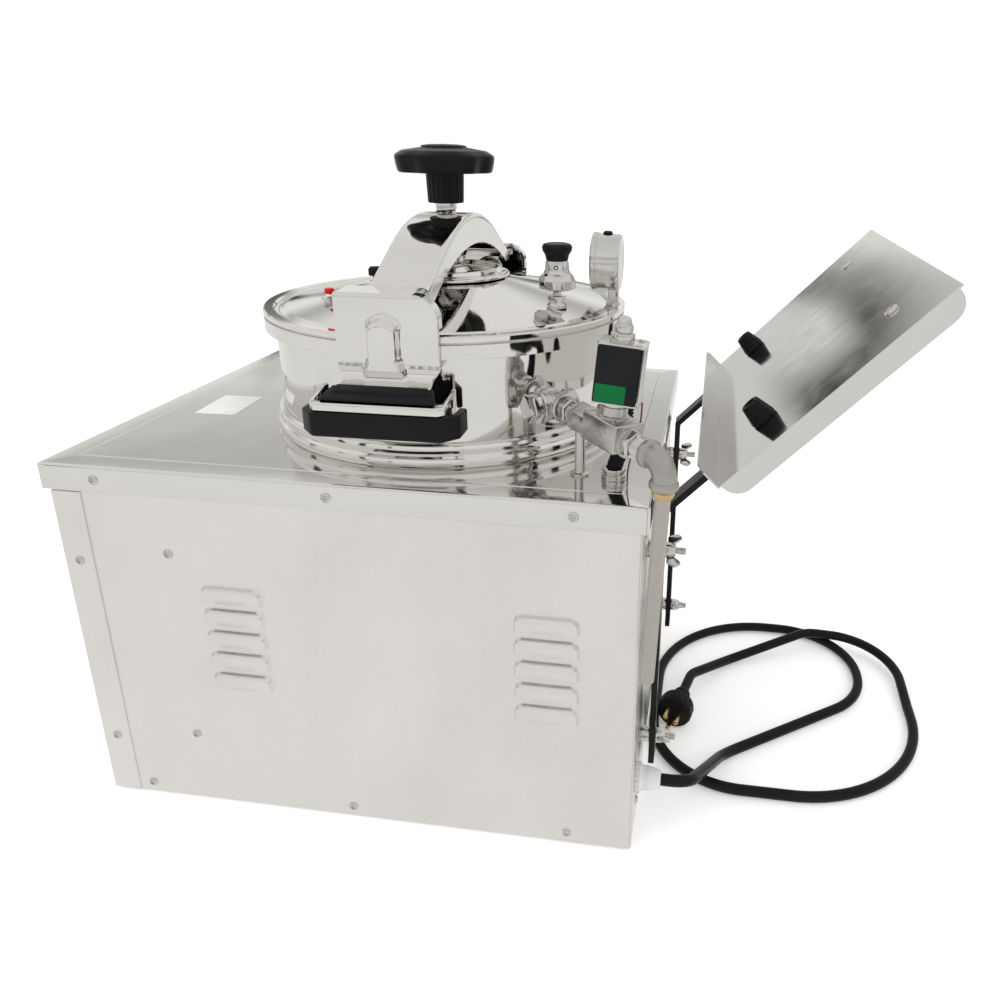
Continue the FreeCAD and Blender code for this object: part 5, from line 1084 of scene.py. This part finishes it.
def lead_fittings():
    facing = Vector((1, -0.22, 0)).normalized().to_track_quat("Z", "Y")
    plug = shift(24, 256, 17.2) @ facing.to_matrix().to_4x4()
    shell = lathe([(5, -35), (7.6, -35, 0.6), (8.6, -31.5, 0.5), (7.8, -30.5, 0.3), (9.4, -27, 0.5),
                   (8.8, -26, 0.3),
                   (10.8, -22.5, 0.5), (10.2, -21.5, 0.3), (13.5, -16.6, 1), (16.6, -16, 0.8),
                   (17, -14, 0.8),
                   (17, -2, 1.6), (15.6, 0, 0.6), (5, 0)], 96)
    grips = []
    for k in range(14):
        rib = box((16.5, -0.9, -13.2), (17.5, 0.9, -3), 0.35)
        grips.append(moved(rib, spin(360 * k / 14)))
    face = lathe([(0, -0.6), (14.6, -0.6), (14.6, 0, 0.2), (5, 0.1), (0, 0.1)], 96)
    piece("plug_moulding", [shell, face] + grips, RUBBER, "plug_body", plug)
    rear = span("rear_panel")[1].y
    gland = [lathe([(5.05, 0), (12, 0), (12, 4.6, 0.8), (10.4, 5.2, 0.4), (9.8, 8, 0.6), (9.6, 12, 0.6),
                    (8.4, 17, 0.6),
                    (7.2, 21, 0.8), (5.05, 21)], 96)]
    for k in range(16):
        gland.append(moved(box((11.2, -0.7, 0.8), (12.4, 0.7, 4.4), 0.3), spin(22.5 * k)))
    piece("lead_gland", gland, GREY, "cable_gland", shift(160, rear + 0.02, 55) @ spin(-90, "X"))


def nought():
    """The six lit bars of a seven-segment 0, on the XY plane."""
    places = ((0, 5, 0), (2.4, 2.5, 90), (2.4, -2.5, 90), (0, -5, 0), (-2.4, -2.5, 90), (-2.4, 2.5, 90))
    outline = [(-1.9, 0), (-1.4, -0.45), (1.4, -0.45), (1.9, 0), (1.4, 0.45), (-1.4, 0.45)]
    return [moved(slab(fillet(outline), 0, 0.15, 0.03), shift(x, y) @ spin(turn)) for x, y,
            turn in places]


def front_controls():
    """The overlay with its window, unlit keys and noughts on the display."""
    low, high = span("control_fascia")
    middle = (low + high) / 2
    front = shift(middle.x, high.y, middle.z) @ spin(90, "X")
    plate = slab(fillet([(-95, -33, 7), (95, -33, 7), (95, 33, 3), (-95, 33, 3)], 5), 0, 2, 0.6)
    window_frame = slab(fillet([(-36, -13, 2), (36, -13, 2), (36, 23, 2), (-36, 23, 2)], 4), 1.8, 2.5,
                        0.4)
    piece("fascia_plate", [plate, window_frame], FASCIA, "control_fascia", front)
    window = slab(fillet([(-34, -11, 1.5), (34, -11, 1.5), (34, 21, 1.5), (-34, 21, 1.5)], 4), 2.3, 2.7,
                  0.15)
    piece("fascia_window", window, HOLE_SHADE_AND_DARK_GLASS, "control_fascia", front, replace=False)
    digits = []
    for y in (13, -3):
        for x in (-16, 0, 16):
            digits += [moved(bar, shift(x, y, 2.7) @ Matrix.Scale(1.15, 4)) for bar in nought()]
    piece("display_digits", digits, RED, "control_fascia", front, replace=False)
    keys = []
    for x in (-54, -74, 54, 74):
        keys.append(moved(lathe([(0, 0), (7.4, 0), (7.4, 0.7, 0.3), (6.2, 1.0, 0.3), (5.6, 0.7, 0.2),
                                 (0, 0.9)], 64),
                          shift(x, -8, 2)))
        keys.append(moved(lathe([(0, 0), (2.4, 0), (2.2, 0.9, 0.5), (0, 1.2)], 40), shift(x, 14, 2)))
    piece("fascia_keys", keys, GREY, "control_fascia", front, replace=False)


BUILDERS = (
    cover_sheet, side_sheets, conduit_hose, solenoid, valve_block, line_fittings, knob_grip, screw_shaft,
    relief_valve, float_valve, gauge, ear_pressing, grip_mouldings, grip_trays, lid_details,
    shelf_fittings,
    wing_fasteners, lead_fittings, front_controls,
)
for build in BUILDERS:
    build()


# ---------------------------------------------------------------- stage, lights and camera

def floor_material():
    """White to the camera; a little greyer where the polished sheets mirror it."""
    material, tree, shader = new_material("stage_floor")
    pale = colour_mix(tree, noise(tree, coordinates(tree), 2, 2), (0.93, 0.93, 0.93), (0.95, 0.95, 0.95))
    toned = colour_mix(tree, noise(tree, coordinates(tree), 1.3, 2), (0.76, 0.75, 0.73),
                       (0.90, 0.89, 0.87))
    feed(tree, shader, {"Base Color": pale, "Roughness": 0.7, "Specular IOR Level": 0.1,
                        "Emission Color": (1, 1, 1, 1), "Emission Strength": 0.26})
    mirrored_tone = add(tree, "Emission", {"Color": toned})
    sight = add(tree, "LightPath", {})
    either = add(tree, "MixShader", {0: sight.outputs["Is Glossy Ray"], 1: shader.outputs[0],
                                     2: mirrored_tone.outputs[0]})
    out = next(node for node in tree.nodes if node.type == "OUTPUT_MATERIAL")
    feed(tree, out, {"Surface": either.outputs[0]})
    return material


def stage():
    """The bench top, a hair below the rubber feet."""
    bpy.ops.mesh.primitive_plane_add(size=14, location=(0, 0, -0.0003))
    floor = bpy.context.object
    floor.name = "floor"
    floor.data.materials.append(floor_material())


def soft_world():
    """White behind the object; what it reflects is a pale room with a few darker things in it."""
    world = bpy.data.worlds.new("studio")
    bpy.context.scene.world = world
    world.use_nodes = True
    tree = world.node_tree
    direction = add(tree, "TexCoord", {}).outputs["Generated"]
    height = add(tree, "SeparateXYZ", {"Vector": direction}).outputs["Z"]
    ramp = add(tree, "ValToRGB", {"Fac": spread(tree, height, 0, 1, -1, 1)})
    ramp.color_ramp.interpolation = "EASE"
    stops = ((0.0, 0.50), (0.46, 0.55), (0.52, 0.72), (0.60, 0.88), (0.67, 0.52), (0.75, 0.86),
             (1.0, 0.76))
    while len(ramp.color_ramp.elements) < len(stops):
        ramp.color_ramp.elements.new(0.5)
    for element, (place, tone) in zip(ramp.color_ramp.elements, stops):
        element.position = place
        element.color = (tone, tone * 0.985, tone * 0.955, 1)
    stretched = add(tree, "Mapping", {"Scale": (2.6, 2.6, 0.7), "Vector": direction}).outputs["Vector"]
    clutter = spread(tree, noise(tree, stretched, 1.7, 2, 0.4), 0, 1, 0.57, 0.60)
    low_only = spread(tree, height, 1, 0, 0.16, 0.28)
    both = sum_up(tree, "MULTIPLY", clutter, low_only)
    room = colour_mix(tree, both, ramp.outputs["Color"], (0.05, 0.05, 0.05))
    sight = add(tree, "LightPath", {})
    plain = sum_up(tree, "MAXIMUM", sight.outputs["Is Camera Ray"], sight.outputs["Is Diffuse Ray"])
    shown = colour_mix(tree, plain, room, (1, 1, 1))
    feed(tree, tree.nodes["Background"], {"Color": shown, "Strength": 1.0})
    bpy.context.scene.view_settings.view_transform = "Standard"


def area_light(name, location, target, size, power):
    data = bpy.data.lights.new(name, "AREA")
    data.energy = power
    data.size = size
    light = bpy.data.objects.new(name, data)
    bpy.context.scene.collection.objects.link(light)
    light.location = location
    direction = Vector(target) - Vector(location)
    light.rotation_euler = direction.to_track_quat("-Z", "Y").to_euler()
    light.visible_glossy = False


def camera():
    """The photographer's view: standing off the +X side, looking down across the cabinet."""
    azimuth, elevation, roll = -0.13, 0.345, 0.021
    forward = Vector((-cos(azimuth) * cos(elevation), sin(azimuth) * cos(elevation),
                      -sin(elevation)))
    level = forward.cross(Vector((0, 0, 1))).normalized()
    upright = level.cross(forward)
    right = level * cos(roll) + upright * sin(roll)
    up = -level * sin(roll) + upright * cos(roll)
    data = bpy.data.cameras.new("camera")
    data.sensor_width = 36
    data.lens = 30.03
    data.shift_x = -0.102386
    data.shift_y = -0.060198
    eye = bpy.data.objects.new("camera", data)
    bpy.context.scene.collection.objects.link(eye)
    matrix = Matrix((right, up, -forward)).transposed().to_4x4()
    matrix.translation = Vector((718.184, 269.613, 552.701)) * MM
    eye.matrix_world = matrix
    bpy.context.scene.camera = eye


stage()
soft_world()
area_light("key", (1.6, -1.4, 2.2), (0, 0, 0.2), 1.6, 16)
area_light("fill", (1.2, 1.8, 1.6), (0, 0.1, 0.3), 1.2, 7)
camera()
